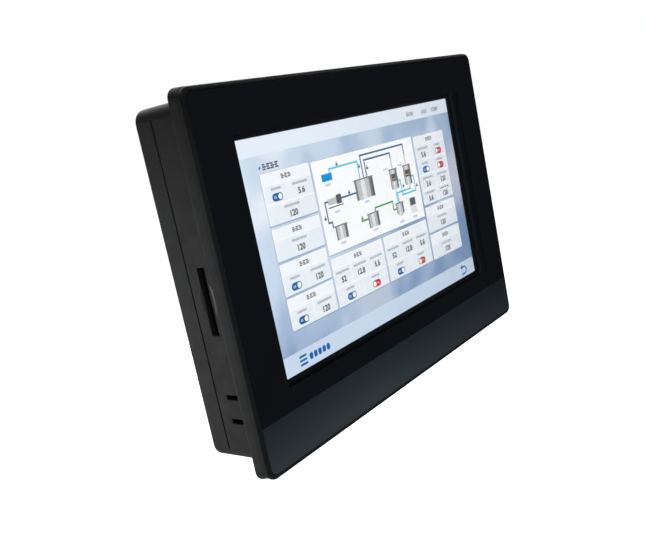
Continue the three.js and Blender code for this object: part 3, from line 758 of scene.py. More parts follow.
def front_housing():
    """The bezel, its flange and the side walls in one: a ring from the screen's opening round the outside."""
    wall, groove = HOUSING["wall"], GASKET_GROOVE
    outer, inner, floor_y = groove["outer"], groove["inner"], groove["floor"]
    side = [(FRONT_Y + advance, RIM, inset) for inset, advance in rounding(RIM_FILLET, 6)]
    side += [
        (FRONT_Y + 1.9, RIM, 0), (FRONT_Y + 2.5, WAIST, 0), (FRONT_Y + 2.9, WAIST, -0.02),
        (-0.6, FLANGE, 0), (-0.12, FLANGE, 0.08), (0, FLANGE, 0.35),
        (0, HOUSING, outer), (floor_y, HOUSING, outer), (floor_y, HOUSING, inner), (0, HOUSING, inner),
        (0, HOUSING, -0.3), (0.1, HOUSING, -0.1), (0.35, HOUSING, 0), (PARTING_Y - SEAM_RUN, HOUSING, 0),
    ]
    rings = [
        (GLASS_SEAT, screen_outline(*LCD_OPENING)),
        (GLASS_SEAT, screen_outline(*GLASS_POCKET)),
        (FILM_SEAT, screen_outline(*GLASS_POCKET)),
        (FILM_SEAT, film_outline(-0.2)),
        (FRONT_Y + 0.1, film_outline(-0.2)),
        (FRONT_Y, film_outline(-0.3)),
        *[(y, section(part, inset)) for y, part, inset in side],
        (PARTING_Y, seam_outline()),
        (PARTING_Y, housing_outline(wall)),
        (PLATE_REAR, housing_outline(wall)),
        (PLATE_REAR, screen_outline(*LCD_OPENING)),
    ]
    posts, holes = [], []
    for boss, screws in ((BOARD_BOSS, BOARD_SCREWS), (COVER_BOSS, COVER_SCREWS)):
        for box in screws:
            posts.append(rod("y", PLATE_REAR - 0.8, boss["end"], boss["radius"], box.xz, boss["edge"], 24))
            holes.append(bore("y", boss["end"], boss["floor"], boss["hole"], box.xz, 0.2, 16))
    shell = fused(loft("y", rings, closed=True), *posts)
    tail = Box("touch_tail")
    holes.append(block(*around(tail.x, 0.5), -6, 0, tail.z0 - 1, tail.z1 + 1, 0.2, 0.05))
    shell = cut(shell, *holes, *card_cutters(), *clamp_cutters(), *port_cutters())
    for face in shell.faces:
        middle = face.calc_center_median()
        beside = abs(middle.x) > film_box.x1 + FILM_EDGE
        beyond = abs(middle.z - film_box.z) > film_box.height / 2 + FILM_EDGE
        # The bezel's side and rim get the darker copy of the casing plastic: painted shade.
        if middle.y < -0.05 and (beside or beyond) and not within_flange(middle):
            face.material_index = 1
        # The thumb recess gets its glossier and lighter copy of the plastic, partly painted light.
        elif in_scoop(middle):
            face.material_index = 2
    return shell


piece("housing_shell", front_housing(), [casing, bezel_shaded, scoop_gloss_and_light], ["front_housing"])

# ---------------------------------------------------------------- film, touch glass and display

BAND_Z = -50.4
WINDOW = {"half_x": 81.1, "half_z": 46.5, "corner": 1.0}
PICTURE = {"width": 153.2, "height": 89.4, "x": -2.2}
# The picture's measures start this far right of its left edge and above its top edge.
GRID = (2.0, 0.3)
MANY_CORNERS = 20
FOAM_CLEARANCE = 3.2


def front_film():
    """The printed overlay: black, with a blue-grey band along the bottom and a clear window, which is
    the loft's two end faces, the only ones with many corners."""
    y0, y1 = film_box.y0, film_box.y1
    hole = screen_outline(WINDOW["half_x"], WINDOW["half_z"], WINDOW["corner"])
    shape = loft("y", [
        (y1, hole), (y1, film_outline(0.03)), (y1 - 0.05, film_outline(0)), (y0 + 0.08, film_outline(0)),
        (y0 + 0.02, film_outline(0.03)), (y0, film_outline(0.1)), (y0, hole)])
    bmesh.ops.bisect_plane(shape, geom=[*shape.verts, *shape.edges, *shape.faces],
                           plane_co=(0, 0, BAND_Z), plane_no=(0, 0, 1))
    for face in shape.faces:
        middle = face.calc_center_median()
        if len(face.verts) > MANY_CORNERS:
            face.material_index = 2
        elif middle.z < BAND_Z:
            face.material_index = 1
    return shape


band_print = print_on_film("band_print", srgb(73, 84, 94), srgb(101, 111, 120),
                           (BAND_Z * MM, film_box.z0 * MM), 0.24)
piece("film_sheet", front_film(), [black_print, band_print, clear_film], ["front_film"])

piece("touch_pane", filling(Box("touch_glass"), 0.8, 0.12), [glass], ["touch_glass"])


def foam_frame():
    box = Box("lcd_foam")
    outer = (box.width / 2, box.height / 2)
    inner = (PICTURE["width"] / 2 + FOAM_CLEARANCE, PICTURE["height"] / 2 + FOAM_CLEARANCE)
    bulge, middle, x = 0.12, (box.y0 + box.y1) / 2, PICTURE["x"]
    return loft("y", [
        (box.y0, screen_outline(*inner, 0.6, x)),
        (box.y0, screen_outline(*outer, 0.8)),
        (middle, screen_outline(outer[0] + bulge, outer[1] + bulge, 0.9)),
        (box.y1, screen_outline(*outer, 0.8)),
        (box.y1, screen_outline(*inner, 0.6, x)),
        (middle, screen_outline(inner[0] - bulge, inner[1] - bulge, 0.6, x)),
    ], closed=True)


piece("foam_seal", foam_frame(), [foam], ["lcd_foam"])
piece("cell_glass", filling(cell, 0.4, 0.1), [display_black], ["lcd_cell"])


# ---------------------------------------------------------------- the picture on the display

class Picture:
    """Thin plates of lit colour on the face of the display, placed from near its top left corner:
    across to the right and down, in millimetres. Each layer lies in front of the one before it."""

    GAP, THICK, STEP, PIPE_WIDTH = 0.004, 0.010, 0.014, 0.72

    def __init__(self):
        self.parts, self.materials, self.numbers = [], [], {}
        self.left = PICTURE["x"] - PICTURE["width"] / 2 + GRID[0]
        self.top = SCREEN_Z + PICTURE["height"] / 2 + GRID[1]

    def ink(self, name, material):
        self.numbers[name] = len(self.materials)
        self.materials.append(material)

    def layer(self, level):
        rear = cell.y0 - self.GAP - level * self.STEP
        return rear - self.THICK, rear

    def outline(self, points, level, ink):
        """A closed outline of (across, down) points."""
        y0, y1 = self.layer(level)
        rows = [(self.left + u, self.top - w) for u, w in points]
        self.parts.append((loft("y", [(y0, rows), (y1, rows)]), self.numbers[ink]))

    def plate(self, u0, u1, w0, w1, level, ink, radius=0.0):
        if radius:
            centre = ((u0 + u1) / 2, (w0 + w1) / 2)
            points = rectangle((u1 - u0) / 2, (w1 - w0) / 2, radius, centre, 4)
        else:
            points = [(u0, w0), (u1, w0), (u1, w1), (u0, w1)]
        self.outline(points, level, ink)

    def pipe(self, points, level, ink):
        """Level and upright strokes through the points."""
        half = self.PIPE_WIDTH / 2
        for (u0, w0), (u1, w1) in zip(points, points[1:]):
            (left, right), (up, down) = sorted((u0, u1)), sorted((w0, w1))
            self.plate(left - half, right + half, up - half, down + half, level, ink)

    def disc(self, u, w, radius, level, ink):
        self.outline(circle(radius, (u, w), 20), level, ink)

    def number(self, text, u, w, height, level, ink="dark"):
        """Numerals centred on (u, w)."""
        curve = bpy.data.curves.new("numerals", "FONT")
        curve.body = text
        curve.size = height * 1.4
        curve.align_x = "CENTER"
        curve.align_y = "CENTER"
        curve.extrude = self.THICK / 2
        curve.offset = height * 0.04
        curve.resolution_u = 3
        obj = bpy.data.objects.new("numerals", curve)
        bpy.context.scene.collection.objects.link(obj)
        seen = obj.evaluated_get(bpy.context.evaluated_depsgraph_get())
        shape = shape_of(bpy.data.meshes.new_from_object(seen))
        bpy.data.objects.remove(obj)
        bpy.data.curves.remove(curve)
        bmesh.ops.rotate(shape, matrix=Matrix.Rotation(math.radians(90), 3, "X"), verts=shape.verts)
        place = (self.left + u, sum(self.layer(level)) / 2, self.top - w)
        bmesh.ops.translate(shape, vec=place, verts=shape.verts)
        self.parts.append((shape, self.numbers[ink]))

    def words(self, u, w, length, height, level, ink):
        """A row of small stacks of dashes that stands for a caption."""
        count = max(2, round(length / (height * 1.15)))
        pitch = length / count
        for i in range(count):
            start, top = u - length / 2 + i * pitch, w - height / 2
            for k, share in enumerate((0.84, 0.6, 0.84) if i % 2 else (0.6, 0.84, 0.7)):
                row = top + k * height * 0.38
                self.plate(start, start + pitch * share, row, row + height * 0.24, level, ink)

    def dashes(self, u, w, length, height, count, level, ink):
        """A plain row of bars with round ends."""
        pitch = length / count
        for i in range(count):
            start, end = u + i * pitch, u + (i + 0.76) * pitch
            self.plate(start, end, *around(w, height / 2), level, ink, height * 0.3)

    def switch(self, u, w, on, level):
        """A small slide switch, blue and to the right when on, red and to the left when off."""
        self.plate(*around(u, 3.0), *around(w, 1.5), level, "blue" if on else "red", 1.45)
        self.disc(u + (1.45 if on else -1.45), w, 1.1, level + 1, "white")
        start = u - 1.9 if on else u + 0.5
        for step in (0.0, 0.85):
            self.plate(start + step, start + step + 0.3, *around(w, 0.5), level + 1, "card")


picture = Picture()
picture.ink("backdrop", lit_backdrop("picture_backdrop"))
INKS = {
    "top_strip": (224, 232, 243), "strip": (198, 213, 232), "white": (249, 250, 252), "card": (238, 241, 247),
    "field": (229, 234, 242), "edge": (142, 161, 192), "dark": (8, 10, 18), "caption": (98, 104, 120),
    "blue_caption": (100, 145, 200), "blue": (0, 90, 160), "red": (196, 6, 4), "tank_blue": (0, 142, 216),
    "pipe_blue": (4, 84, 140), "pipe_cyan": (64, 190, 216), "pipe_green": (44, 146, 74),
    "yellow": (214, 178, 70), "grey_1": (84, 86, 90), "grey_2": (120, 122, 126), "grey_3": (158, 160, 163),
    "grey_4": (192, 194, 196), "grey_5": (226, 227, 229),
}
for ink, colour in INKS.items():
    picture.ink(ink, lit("picture_" + ink, srgb(*colour)))

TITLE_HEIGHT, GUTTER = 4.4, 0.35


def card(u0, u1, w0, w1):
    """A white card with a tinted title line across its top."""
    picture.plate(u0 - 0.25, u1 + 0.25, w0 - 0.1, w1 + 0.5, 1, "edge", 0.5)
    picture.plate(u0, u1, w0, w1, 2, "white", 0.4)
    picture.plate(u0 + GUTTER, u1 - GUTTER, w0 + GUTTER, w0 + TITLE_HEIGHT, 3, "card", 0.2)
    picture.words((u0 + u1) / 2, w0 + TITLE_HEIGHT / 2 + 0.2, 6.0, 1.7, 4, "dark")


def field(u0, u1, w0, w1, value):
    """A tinted field with a caption over a number or a switch."""
    u, height = (u0 + u1) / 2, w1 - w0
    picture.plate(u0, u1, w0, w1, 3, "field", 0.3)
    caption = min(u1 - u0 - 3.0, 9.0) if isinstance(value, str) else 5.6
    picture.words(u, w0 + height * 0.22, caption, 0.85, 4, "caption")
    if isinstance(value, str):
        picture.number(value, u, w0 + height * 0.68, 2.4, 4)
    else:
        picture.switch(u, w0 + height * 0.68, value, 4)


def card_with_fields(u0, u1, w0, w1, rows):
    """A card whose fields share its width in each row."""
    card(u0, u1, w0, w1)
    height = (w1 - w0 - TITLE_HEIGHT) / len(rows)
    for i, values in enumerate(rows):
        width = (u1 - u0 - GUTTER) / len(values)
        top = w0 + TITLE_HEIGHT + i * height
        for k, value in enumerate(values):
            start = u0 + GUTTER + k * width
            field(start, start + width - GUTTER, top + GUTTER, top + height - GUTTER * 0.4, value)


def tank(u0, u1, w0, w1, dome=0.0, cone=0.0):
    """An upright vessel shaded from dark sides to a bright middle, with a rim and an optional end."""
    count = 9
    width = (u1 - u0) / count
    for i in range(count):
        along = (i + 0.5) / count
        shade = 1 + round(4 * math.sin(math.pi * (along * 0.85 + 0.12)) ** 1.5)
        lift = dome * math.sin(math.pi * along)
        drop = cone * (1 - abs(2 * along - 1))
        start, end = u0 + i * width, u0 + (i + 1) * width
        picture.plate(start, end, w0 - lift, w1 + drop, 4, f"grey_{min(shade, 5)}")
    picture.plate(u0 - 0.4, u1 + 0.4, w0 - 0.35, w0 + 0.2, 5, "grey_2")


def valve(u, w):
    """A small stop valve: a body and its handle."""
    picture.plate(*around(u, 0.7), *around(w, 0.45), 6, "grey_1")
    picture.plate(*around(u, 0.3), w - 1.2, w - 0.4, 6, "grey_2")


def process_diagram():
    """Vessels, a pump set and their pipes, in the white middle card."""
    pipes = [
        ("pipe_cyan", [(48.2, 20.4), (48.2, 18.6), (67.9, 18.6), (67.9, 26)]),
        ("pipe_blue", [(70.6, 26), (70.6, 16.6), (104.7, 16.6), (104.7, 21)]),
        ("pipe_blue", [(73.0, 26), (73.0, 18.9), (93.2, 18.9), (93.2, 21)]),
        ("pipe_blue", [(63, 31.3), (52.6, 31.3)]),
        ("pipe_blue", [(43.4, 31.2), (41.5, 31.2), (41.5, 39.6), (43.8, 39.6), (43.8, 41.8)]),
        ("pipe_cyan", [(96, 31.9), (97.9, 31.9), (97.9, 38.9), (109.4, 38.9), (109.4, 31.9), (108, 31.9)]),
        ("pipe_cyan", [(93.9, 41.5), (93.9, 37.2), (105, 37.2), (105, 35.5)]),
        ("pipe_cyan", [(93.0, 35.5), (93.0, 41.5)]),
        ("pipe_green", [(63.4, 43.7), (68, 43.7)]),
        ("pipe_green", [(74.6, 41.6), (74.6, 40.1), (88.6, 40.1), (88.6, 44), (90.8, 44)]),
        ("grey_4", [(93.2, 21), (93.2, 26)]),
        ("grey_4", [(104.7, 21), (104.7, 26)]),
    ]
    for ink, points in pipes:
        picture.pipe(points, 3, ink)
    picture.plate(42.5, 49.4, 20.1, 23.1, 4, "tank_blue")
    tank(63.2, 76.8, 26.4, 34.9, dome=0.6)
    for u in (93.2, 104.7):
        tank(u - 3.0, u + 3.0, 26.4, 35.0, cone=0.5)
        picture.plate(u - 1.9, u + 1.9, 28.4, 31.6, 5, "grey_1")
        picture.plate(u - 1.4, u + 1.4, 30.4, 30.8, 6, "yellow")
    tank(44.8, 52.8, 41.9, 47.6)
    tank(68.2, 76.4, 41.9, 47.9)
    tank(90.8, 96.8, 41.9, 46.2, cone=2.2)
    picture.plate(102.2, 107.6, 41.4, 48.6, 4, "grey_5")
    picture.plate(102.6, 107.2, 41.6, 45.0, 5, "grey_1")
    picture.plate(43.2, 53.4, 33.6, 34.1, 4, "grey_1")
    picture.plate(43.4, 49.2, 30.2, 32.8, 4, "grey_4")
    picture.plate(49.2, 52.6, 29.4, 33.2, 5, "grey_1")
    for u, w in ((53.8, 17.6), (58.5, 30.3), (39.8, 37.6), (64, 42.7), (68.8, 21.0), (74.4, 22.6),
                 (99.6, 35.3), (111, 37.0)):
        valve(u, w)
    for u, w in ((45.9, 24.6), (48.7, 36.1), (70, 36.3), (48.7, 49.2), (72.3, 49.3), (88, 25.4),
                 (100, 25.4), (93.7, 50.4), (105, 50.4)):
        picture.words(u, w, 3.6, 0.9, 4, "blue_caption")


def return_arrow(u, w):
    """A hooked arrow that points back to the left."""
    radius, half, bend, steps = 1.75, 0.375, u + 0.9, 12

    def arc(reach):
        angles = [math.radians(-90 + 180 * k / steps) for k in range(steps + 1)]
        return [(bend + reach * math.cos(angle), w + reach * math.sin(angle)) for angle in angles]

    picture.outline(arc(radius + half) + arc(radius - half)[::-1], 2, "blue")
    picture.plate(u - 1.2, u + 0.95, *around(w - radius, half), 2, "blue")
    picture.plate(u - 2.0, u + 0.95, *around(w + radius, half), 2, "blue")
    head = [(u - 0.9, end) for end in around(w - radius, 1.35)]
    picture.outline([(u - 3.0, w - radius), *head], 3, "blue")


def menu_mark(u, w):
    """Three level bars and a plain tab, as a menu button has."""
    for step in (-1.6, 0, 1.6):
        picture.plate(u, u + 4.4, *around(w + step, 0.42), 2, "blue", 0.35)
    picture.dashes(u + 6.0, w, 13.5, 2.6, 5, 2, "blue")


def screen_picture():
    """The whole process picture: backdrop, strips, cards and the diagram in the middle."""
    left, right = -GRID[0], PICTURE["width"] - GRID[0]
    top, bottom = GRID[1], PICTURE["height"] + GRID[1]
    picture.plate(left, right, top, bottom, 0, "backdrop")
    picture.plate(left, right, top, 7.0, 1, "top_strip")
    picture.plate(left, right, bottom - 7.8, bottom, 1, "strip")
    picture.number("01/01", 116, 4.2, 2.0, 2, "grey_2")
    picture.words(129, 4.3, 5.0, 1.5, 2, "grey_2")
    picture.number("12:00", 138.6, 4.2, 2.0, 2, "grey_2")
    picture.disc(8.6, 11.6, 0.5, 1, "blue")
    picture.words(14.8, 11.5, 9.2, 2.2, 1, "dark")
    left, middle, right = (7.8, 36.4), (37.6, 113.2), (114.6, 142.7)
    card_with_fields(*left, 13.9, 33.3, [(True, "5.6"), ("120",)])
    card_with_fields(*left, 34.6, 47.0, [("120",)])
    card_with_fields(*left, 48.1, 60.5, [(True, "120")])
    card_with_fields(*left, 61.5, 73.9, [(True, "120")])
    card_with_fields(*right, 14.8, 47.4, [("5.6", False), (True, False), ("5.6", "120"), ("5.6", "120")])
    card_with_fields(*right, 48.7, 61.0, [("120",)])
    card_with_fields(*right, 62.1, 74.2, [("120",)])
    for u0, u1 in ((37.6, 74.8), (76.1, 113.2)):
        card_with_fields(u0, u1, 53.8, 74.0, [("52", "12.8", "5.6"), (True, False)])
    picture.plate(middle[0] - 0.25, middle[1] + 0.25, 14.1, 52.6, 1, "edge", 0.5)
    picture.plate(*middle, 14.2, 52.2, 2, "white", 0.3)
    process_diagram()
    menu_mark(7.8, 86.0)
    return_arrow(140.2, 86.3)


screen_picture()
piece("screen_picture", joined(*picture.parts), picture.materials)

# ---------------------------------------------------------------- gasket and rear cover

def gasket_ring():
    """A rubber strip in the flange's groove with two beads that meet the cabinet panel."""
    box = Box("panel_gasket")
    inner, outer, back, bead = 0.75, 2.25, 0.2, 0.3
    profile = [(box.y0, inner), (back, inner)]
    for centre in (1.05, 1.95):
        for k in range(7):
            angle = math.pi * k / 6
            profile.append((back + (box.y1 - back) * math.sin(angle), centre - bead * math.cos(angle)))
    profile += [(back, outer), (box.y0, outer)]
    return loft("y", [(y, housing_outline(-inset)) for y, inset in profile], closed=True)


piece("gasket_strip", gasket_ring(), [seal], ["panel_gasket"])

REAR_Y = cover_box.y1
REAR_EDGE = 1.4
# The walls round the switches' pocket and the battery cover's recess.
POCKET_WALL, HATCH_WALL = 1.8, 2.4
SWITCH_POCKET = {"x0": -72.0, "x1": -44.0, "z0": 20.0, "z1": 36.0, "floor": 18.2}
HATCH = Box("battery_cover")
HATCH_TRAVEL = 3.0
LABEL = Box("rating_label")
GROUND = Box("ground_screw")
DIP = Box("dip_switch")
RESET = Box("reset_button")


def rear_vents():
    """Slots with round ends in the rear wall, over the heat sink, and along the top wall."""
    slots = []
    for step in range(-6, 7):
        slots.append(window("y", REAR_Y, REAR_Y - 4, 1.0, 14.0, 0.95, (step * 5.0, 32.0), 0.3))
    for step in range(-10, 11):
        slots.append(window("z", TOP, TOP - 4, 1.1, 1.6, 0.6, (step * 6.0, 20.2), 0.25))
    return slots


def earth_mark(x, z):
    """The shallow sign of protective earth: a stem over three shortening bars."""
    y0, y1 = REAR_Y - 0.2, REAR_Y + 1
    marks = [block(*around(x, 0.22), y0, y1, z, z + 2.4, 0.05, 0.02)]
    for half, drop in ((2.0, 0.0), (1.3, 0.9), (0.6, 1.8)):
        marks.append(block(*around(x, half), y0, y1, *around(z - drop, 0.22), 0.05, 0.02))
    return marks


def rear_cover():
    """The shell behind the parting line, with the lip that enters the front housing."""
    wall, start, front = HOUSING["wall"], COVER_START, 14.3
    rings = [
        (REAR_Y - wall, housing_outline(wall + 0.4)),
        (REAR_Y - wall - 0.4, housing_outline(wall)),
        (start, housing_outline(wall)),
        (start, seam_outline()),
        (start + SEAM_RUN, housing_outline(0)),
    ]
    for inset, advance in reversed(rounding(REAR_EDGE, 7)):
        rings.append((REAR_Y - advance, housing_outline(inset)))
    lip = [
        (front, wall + 0.4), (front, wall + 1.0), (front + 0.3, wall + 1.2), (start + 2.3, wall + 1.2),
        (start + 2.3, wall - 0.3), (start + 0.6, wall - 0.3),
        (start + 0.6, wall + 0.2), (front + 0.3, wall + 0.2),
    ]
    pocket, inner = SWITCH_POCKET, REAR_Y - 1
    added = [
        loft("y", [(y, housing_outline(inset)) for y, inset in lip], closed=True),
        block(pocket["x0"] - POCKET_WALL, pocket["x1"] + POCKET_WALL, pocket["floor"] - 1.6, inner,
              pocket["z0"] - POCKET_WALL, pocket["z1"] + POCKET_WALL, 2.0),
        block(HATCH.x0 - HATCH_WALL, HATCH.x1 + HATCH_WALL + HATCH_TRAVEL, 21.4, inner,
              HATCH.z0 - HATCH_WALL, HATCH.z1 + HATCH_WALL, 2.0),
        rod("y", 13, 21.5, 5, GROUND.xz, 0.3),
        rod("y", 20.5, inner, 7.8, GROUND.xz, 0.3),
    ]
    added += [rod("y", front, inner, 3.9, b.xz, 0.2, 24) for b in COVER_SCREWS]
    earth = earth_mark(GROUND.x + 11.5, GROUND.z - 0.4)
    return cut(fused(loft("y", rings), *added), *rear_vents(), *cover_openings(), *port_cutters(), *earth)


def cover_openings():
    """Pockets, recesses and screw holes in the rear wall."""
    pocket = SWITCH_POCKET
    floor_y = pocket["floor"]
    centre = ((pocket["x0"] + pocket["x1"]) / 2, (pocket["z0"] + pocket["z1"]) / 2)
    half = ((pocket["x1"] - pocket["x0"]) / 2, (pocket["z1"] - pocket["z0"]) / 2)
    below = (floor_y - 4, floor_y + 1)
    middle = ((HATCH.x0 + HATCH.x1 + HATCH_TRAVEL) / 2, HATCH.z)
    half_x, half_z = (HATCH.width + HATCH_TRAVEL) / 2 + 0.3, HATCH.height / 2 + 0.3
    openings = [
        window("y", REAR_Y, floor_y, *half, 1.5, centre, 0.4),
        block(*around(DIP.x, 5.9), *below, *around(DIP.z, 2.4), 0.4, 0.05),
        rod("y", *below, 2.0, RESET.xz, 0.05),
        window("y", REAR_Y, HATCH.y0 - 0.1, half_x, half_z, 1.3, middle, 0.2),
        block(*around(HATCH.x, 11.5), 20, HATCH.y1 - 1, *around(HATCH.z, 11.5), 1.0),
        window("y", REAR_Y, LABEL.y0 - 0.05, LABEL.width / 2 + 0.3, LABEL.height / 2 + 0.3,
               1.3, LABEL.xz, 0.1),
        window("y", REAR_Y, 22, 6.2, 6.2, 6.15, GROUND.xz, 0.4, 10),
        rod("y", 12, 23, 2.3, GROUND.xz, 0.05),
    ]
    for box in COVER_SCREWS:
        openings.append(bore("y", REAR_Y, 21.8, 3.2, box.xz, 0.35))
        openings.append(rod("y", 14, 22, SCREW_HOLE, box.xz, 0.05, 24))
    return openings


piece("cover_shell", rear_cover(), [cover_casing], ["rear_cover"])


def battery_hatch():
    """The sliding cover with three thumb grooves and a sunken arrow."""
    plate = filling(HATCH, 1.0, 0.3)
    grooves = []
    for step in (5.6, 8, 10.4):
        grooves.append(window("y", HATCH.y1, HATCH.y1 - 0.5, 0.45, 7.0, 0.4, (HATCH.x + step, HATCH.z), 0.2))
    tip, tail, half = HATCH.x - 1.5, HATCH.x - 5.5, 2.6
    arrow = loft("y", [
        (y, [(tail, HATCH.z - half), (tip, HATCH.z), (tail, HATCH.z + half)])
        for y in (HATCH.y1 - 0.25, HATCH.y1 + 1)])
    return cut(plate, *grooves, arrow)


piece("hatch", battery_hatch(), [cover_casing], ["battery_cover"], body="battery_cover")


def blank_label():
    """A silver label with an empty printed frame."""
    rows = [LABEL.z + step for step in (14.5, 5.5, -1.5, -8.5, -14.5)]
    half, thin = LABEL.width / 2 - 3.5, 0.12
    skin = around(LABEL.y1, 0.02)
    lines = [block(-half, half, *skin, *around(z, thin), 0.03, 0.005) for z in rows]
    for x, low in ((-half, rows[4]), (half, rows[4]), (-6.0, rows[3])):
        lines.append(block(*around(x, thin), *skin, low - thin, rows[0] + thin, 0.03, 0.005))
    return joined((filling(LABEL, 1.2, 0.05), 0), *[(line, 1) for line in lines])


piece("label_plate", blank_label(), [label_silver, label_ink], ["rating_label"])

# ---------------------------------------------------------------- screws

PITCH = 0.5
# Shares of a pan head: the flat's radius in the head's, and the dome's height in the head's.
FLAT, DOME = 0.42, 0.62


def threaded(tip, top, radius):
    """(t, radius) pairs of a screw's shank: a cone at the tip, then the thread's crests and roots."""
    t, root = tip + radius * 0.6, radius * 0.85
    profile = [(tip, radius * 0.45), (t, root)]
    while t + PITCH < top:
        profile += [(t + PITCH / 2, radius), (t + PITCH, root)]
        t += PITCH
    return profile


def screw(box, head, shank, head_front, crossed=True, washer=None):
    """A pan-head screw along Y whose head faces the back."""
    tall = box.y1 - head_front
    profile = threaded(box.y0, head_front, shank)
    profile += [(head_front, shank), (head_front, head * 0.96), (head_front + 0.12, head)]
    for k in range(7):
        angle = math.radians(90 * k / 6)
        curve = math.cos(angle) ** 0.7 if k < 6 else 0
        profile.append((box.y1 - tall * DOME * (1 - math.sin(angle)), head * (FLAT + (1 - FLAT) * curve)))
    shape = turned("y", box.xz, profile, 36)
    deep, reach, thick = box.y1 - tall * 0.6, head * 0.62, head * 0.13
    if crossed:
        arms, narrow = ((reach, thick), (thick, reach)), 0.55
    else:
        arms, narrow = ((head * 1.4, thick * 1.1),), 1
    levels = ((deep, narrow), (box.y1 + 0.5, 1.15))
    recess = []
    for along, across in arms:
        rings = [(y, rectangle(along * scale, across, 0.04, box.xz, 2)) for y, scale in levels]
        recess.append(loft("y", rings))
    shape = cut(shape, *recess)
    if washer:
        shape = joined((shape, 0), (rod("y", box.y0 + 8.6, box.y0 + 9.4, washer, box.xz, 0.2), 0))
    return shape


for number, box in enumerate(COVER_SCREWS, 1):
    piece(f"case_screw_{number}", screw(box, 2.8, 1.4, 21.9), [zinc], [f"cover_screw_{number}"])
for number, box in enumerate(BOARD_SCREWS, 1):
    piece(f"inner_screw_{number}", screw(box, 2.8, 1.2, 10.6), [zinc], [f"board_screw_{number}"])
piece("earth_screw", screw(GROUND, 3.7, 1.95, 22.9, washer=4.8), [steel], ["ground_screw"])

# ---------------------------------------------------------------- ports along the bottom

def contact(x, width, y0, y1, z0, z1):
    """A gilt contact strip."""
    return block(*around(x, width / 2), y0, y1, z0, z1, 0.08, 0.05)


def serial_port(box):
    """A nine-pole socket: a drawn steel shell on its flange, with the insulator and its contacts inside."""
    x, front, base = box.x, box.z0, box.z1 - 11.1
    front_y, rear_y = 10.6, 22.9
    flange = slab("z", base, base + 1, 15.4, (rear_y - front_y) / 2, 2.2, (x, (front_y + rear_y) / 2), 0.15)
    screws = [(screw_x, SERIAL_Y) for screw_x in around(x, SERIAL_SCREW)]
    flange = cut(flange, *[rod("z", base - 1, base + 2, 1.6, place, 0.02, 24) for place in screws])
    drawn = [
        (base + 0.1, 0.9), (base - 0.3, 0.25), (base - 0.9, 0), (front + 0.15, 0),
        (front, -0.15), (front, -0.4), (base + 0.8, -0.4), (base + 0.8, 0.9),
    ]
    shell = loft("z", [(z, serial_outline(x, grow)) for z, grow in drawn], closed=True)
    insert = loft("z", [(z, serial_outline(x, -0.45)) for z in (front + 0.35, base + 1.5)])
    pitch, row = 2.77, 1.42
    poles = [(x + (i - 2) * pitch, SERIAL_Y + row) for i in range(5)]
    poles += [(x + (i - 1.5) * pitch, SERIAL_Y - row) for i in range(4)]
    insert = cut(insert, *[rod("z", front - 1, front + 5, 0.62, pole, 0.02, 16) for pole in poles])
    mouth, end = front + 0.9, front + 4.9
    tube = [(mouth, 0.6), (end, 0.6), (end, 0.38), (mouth, 0.38)]
    sockets = [(loft("z", [(z, circle(r, pole, 14)) for z, r in tube], closed=True), 2) for pole in poles]
    body = block(*around(x, 9.5), front_y, 21.6, base + 1.1, box.z1, 0.5, axis="z")
    return joined((flange, 0), (shell, 0), (insert, 1), (body, 1), *sockets)


def jack_screw(box):
    """A hexagonal standoff with a threaded hole."""
    top, bottom = box.z0 + 4.8, box.z0
    centre = (box.x, SERIAL_Y)
    hexagon = [(bottom, 2.45), (bottom + 0.25, 2.7), (top - 0.2, 2.7), (top, 2.5)]
    turn = math.radians(30)
    body = loft("z", [(t, circle(r, centre, 6, turn)) for t, r in hexagon])
    hole = [(bottom - 1, 1.7), (bottom + 0.3, 1.35)]
    for k in range(7):
        hole += [(bottom + 0.5 + k * 0.5, 1.22), (bottom + 0.75 + k * 0.5, 1.38)]
    hole.append((bottom + 4.2, 1.2))
    body = cut(body, turned("z", centre, hole, 24))
    stem = threaded(top - 0.3, box.z1, 1.3)
    return joined((body, 0), (turned("z", centre, [*stem, (box.z1, 1.1)], 24), 0))


def ethernet_jack():
    """A shielded network socket with its latch slot, eight sprung contacts and two lamps."""
    box = Box("ethernet_jack")
    x, mouth = box.x, box.z0
    cavity = [
        block(*around(x, 5.9), 12, 18.8, mouth - 1, mouth + 11.8, 0.3, 0.05, "z"),
        block(*around(x, 3.1), 18, 21.2, mouth - 1, mouth + 9.8, 0.3, 0.05, "z"),
    ]
    lamps, lamp_y = around(x, 5.7), 20.5
    for u in lamps:
        cavity.append(block(*around(u, 1.5), *around(lamp_y, 1.2), mouth - 1, mouth + 1.2, 0.2, 0.05, "z"))
    parts = [(cut(filling(box, 0.4, 0.15, "z"), *cavity), 0)]
    inside = (mouth + 0.4, mouth + 11.4)
    for u in around(x, 5.75):
        parts.append((block(*around(u, 0.12), 12.1, 18.6, *inside, 0.1, 0.03, "z"), 1))
    parts.append((block(*around(x, 5.6), 12.05, 12.5, *inside, 0.1, 0.03, "z"), 1))
    parts.append((block(*around(x, 5.6), 12.6, 18.6, mouth + 11.0, mouth + 11.6, 0.1, 0.03, "z"), 1))
    wire = [(12.5, mouth + 2.2), (12.8, mouth + 2.0), (15.6, mouth + 8.6), (15.6, mouth + 9.3)]
    for i in range(8):
        parts.append((loft("x", [(u, wire) for u in around(x + (i - 3.5) * 1.02, 0.2)]), 2))
    for i, u in enumerate(lamps):
        lens = block(*around(u, 1.4), *around(lamp_y, 1.1), mouth + 0.15, mouth + 1.1, 0.2, 0.1, "z")
        parts.append((lens, 3 + i))
    return joined(*parts)


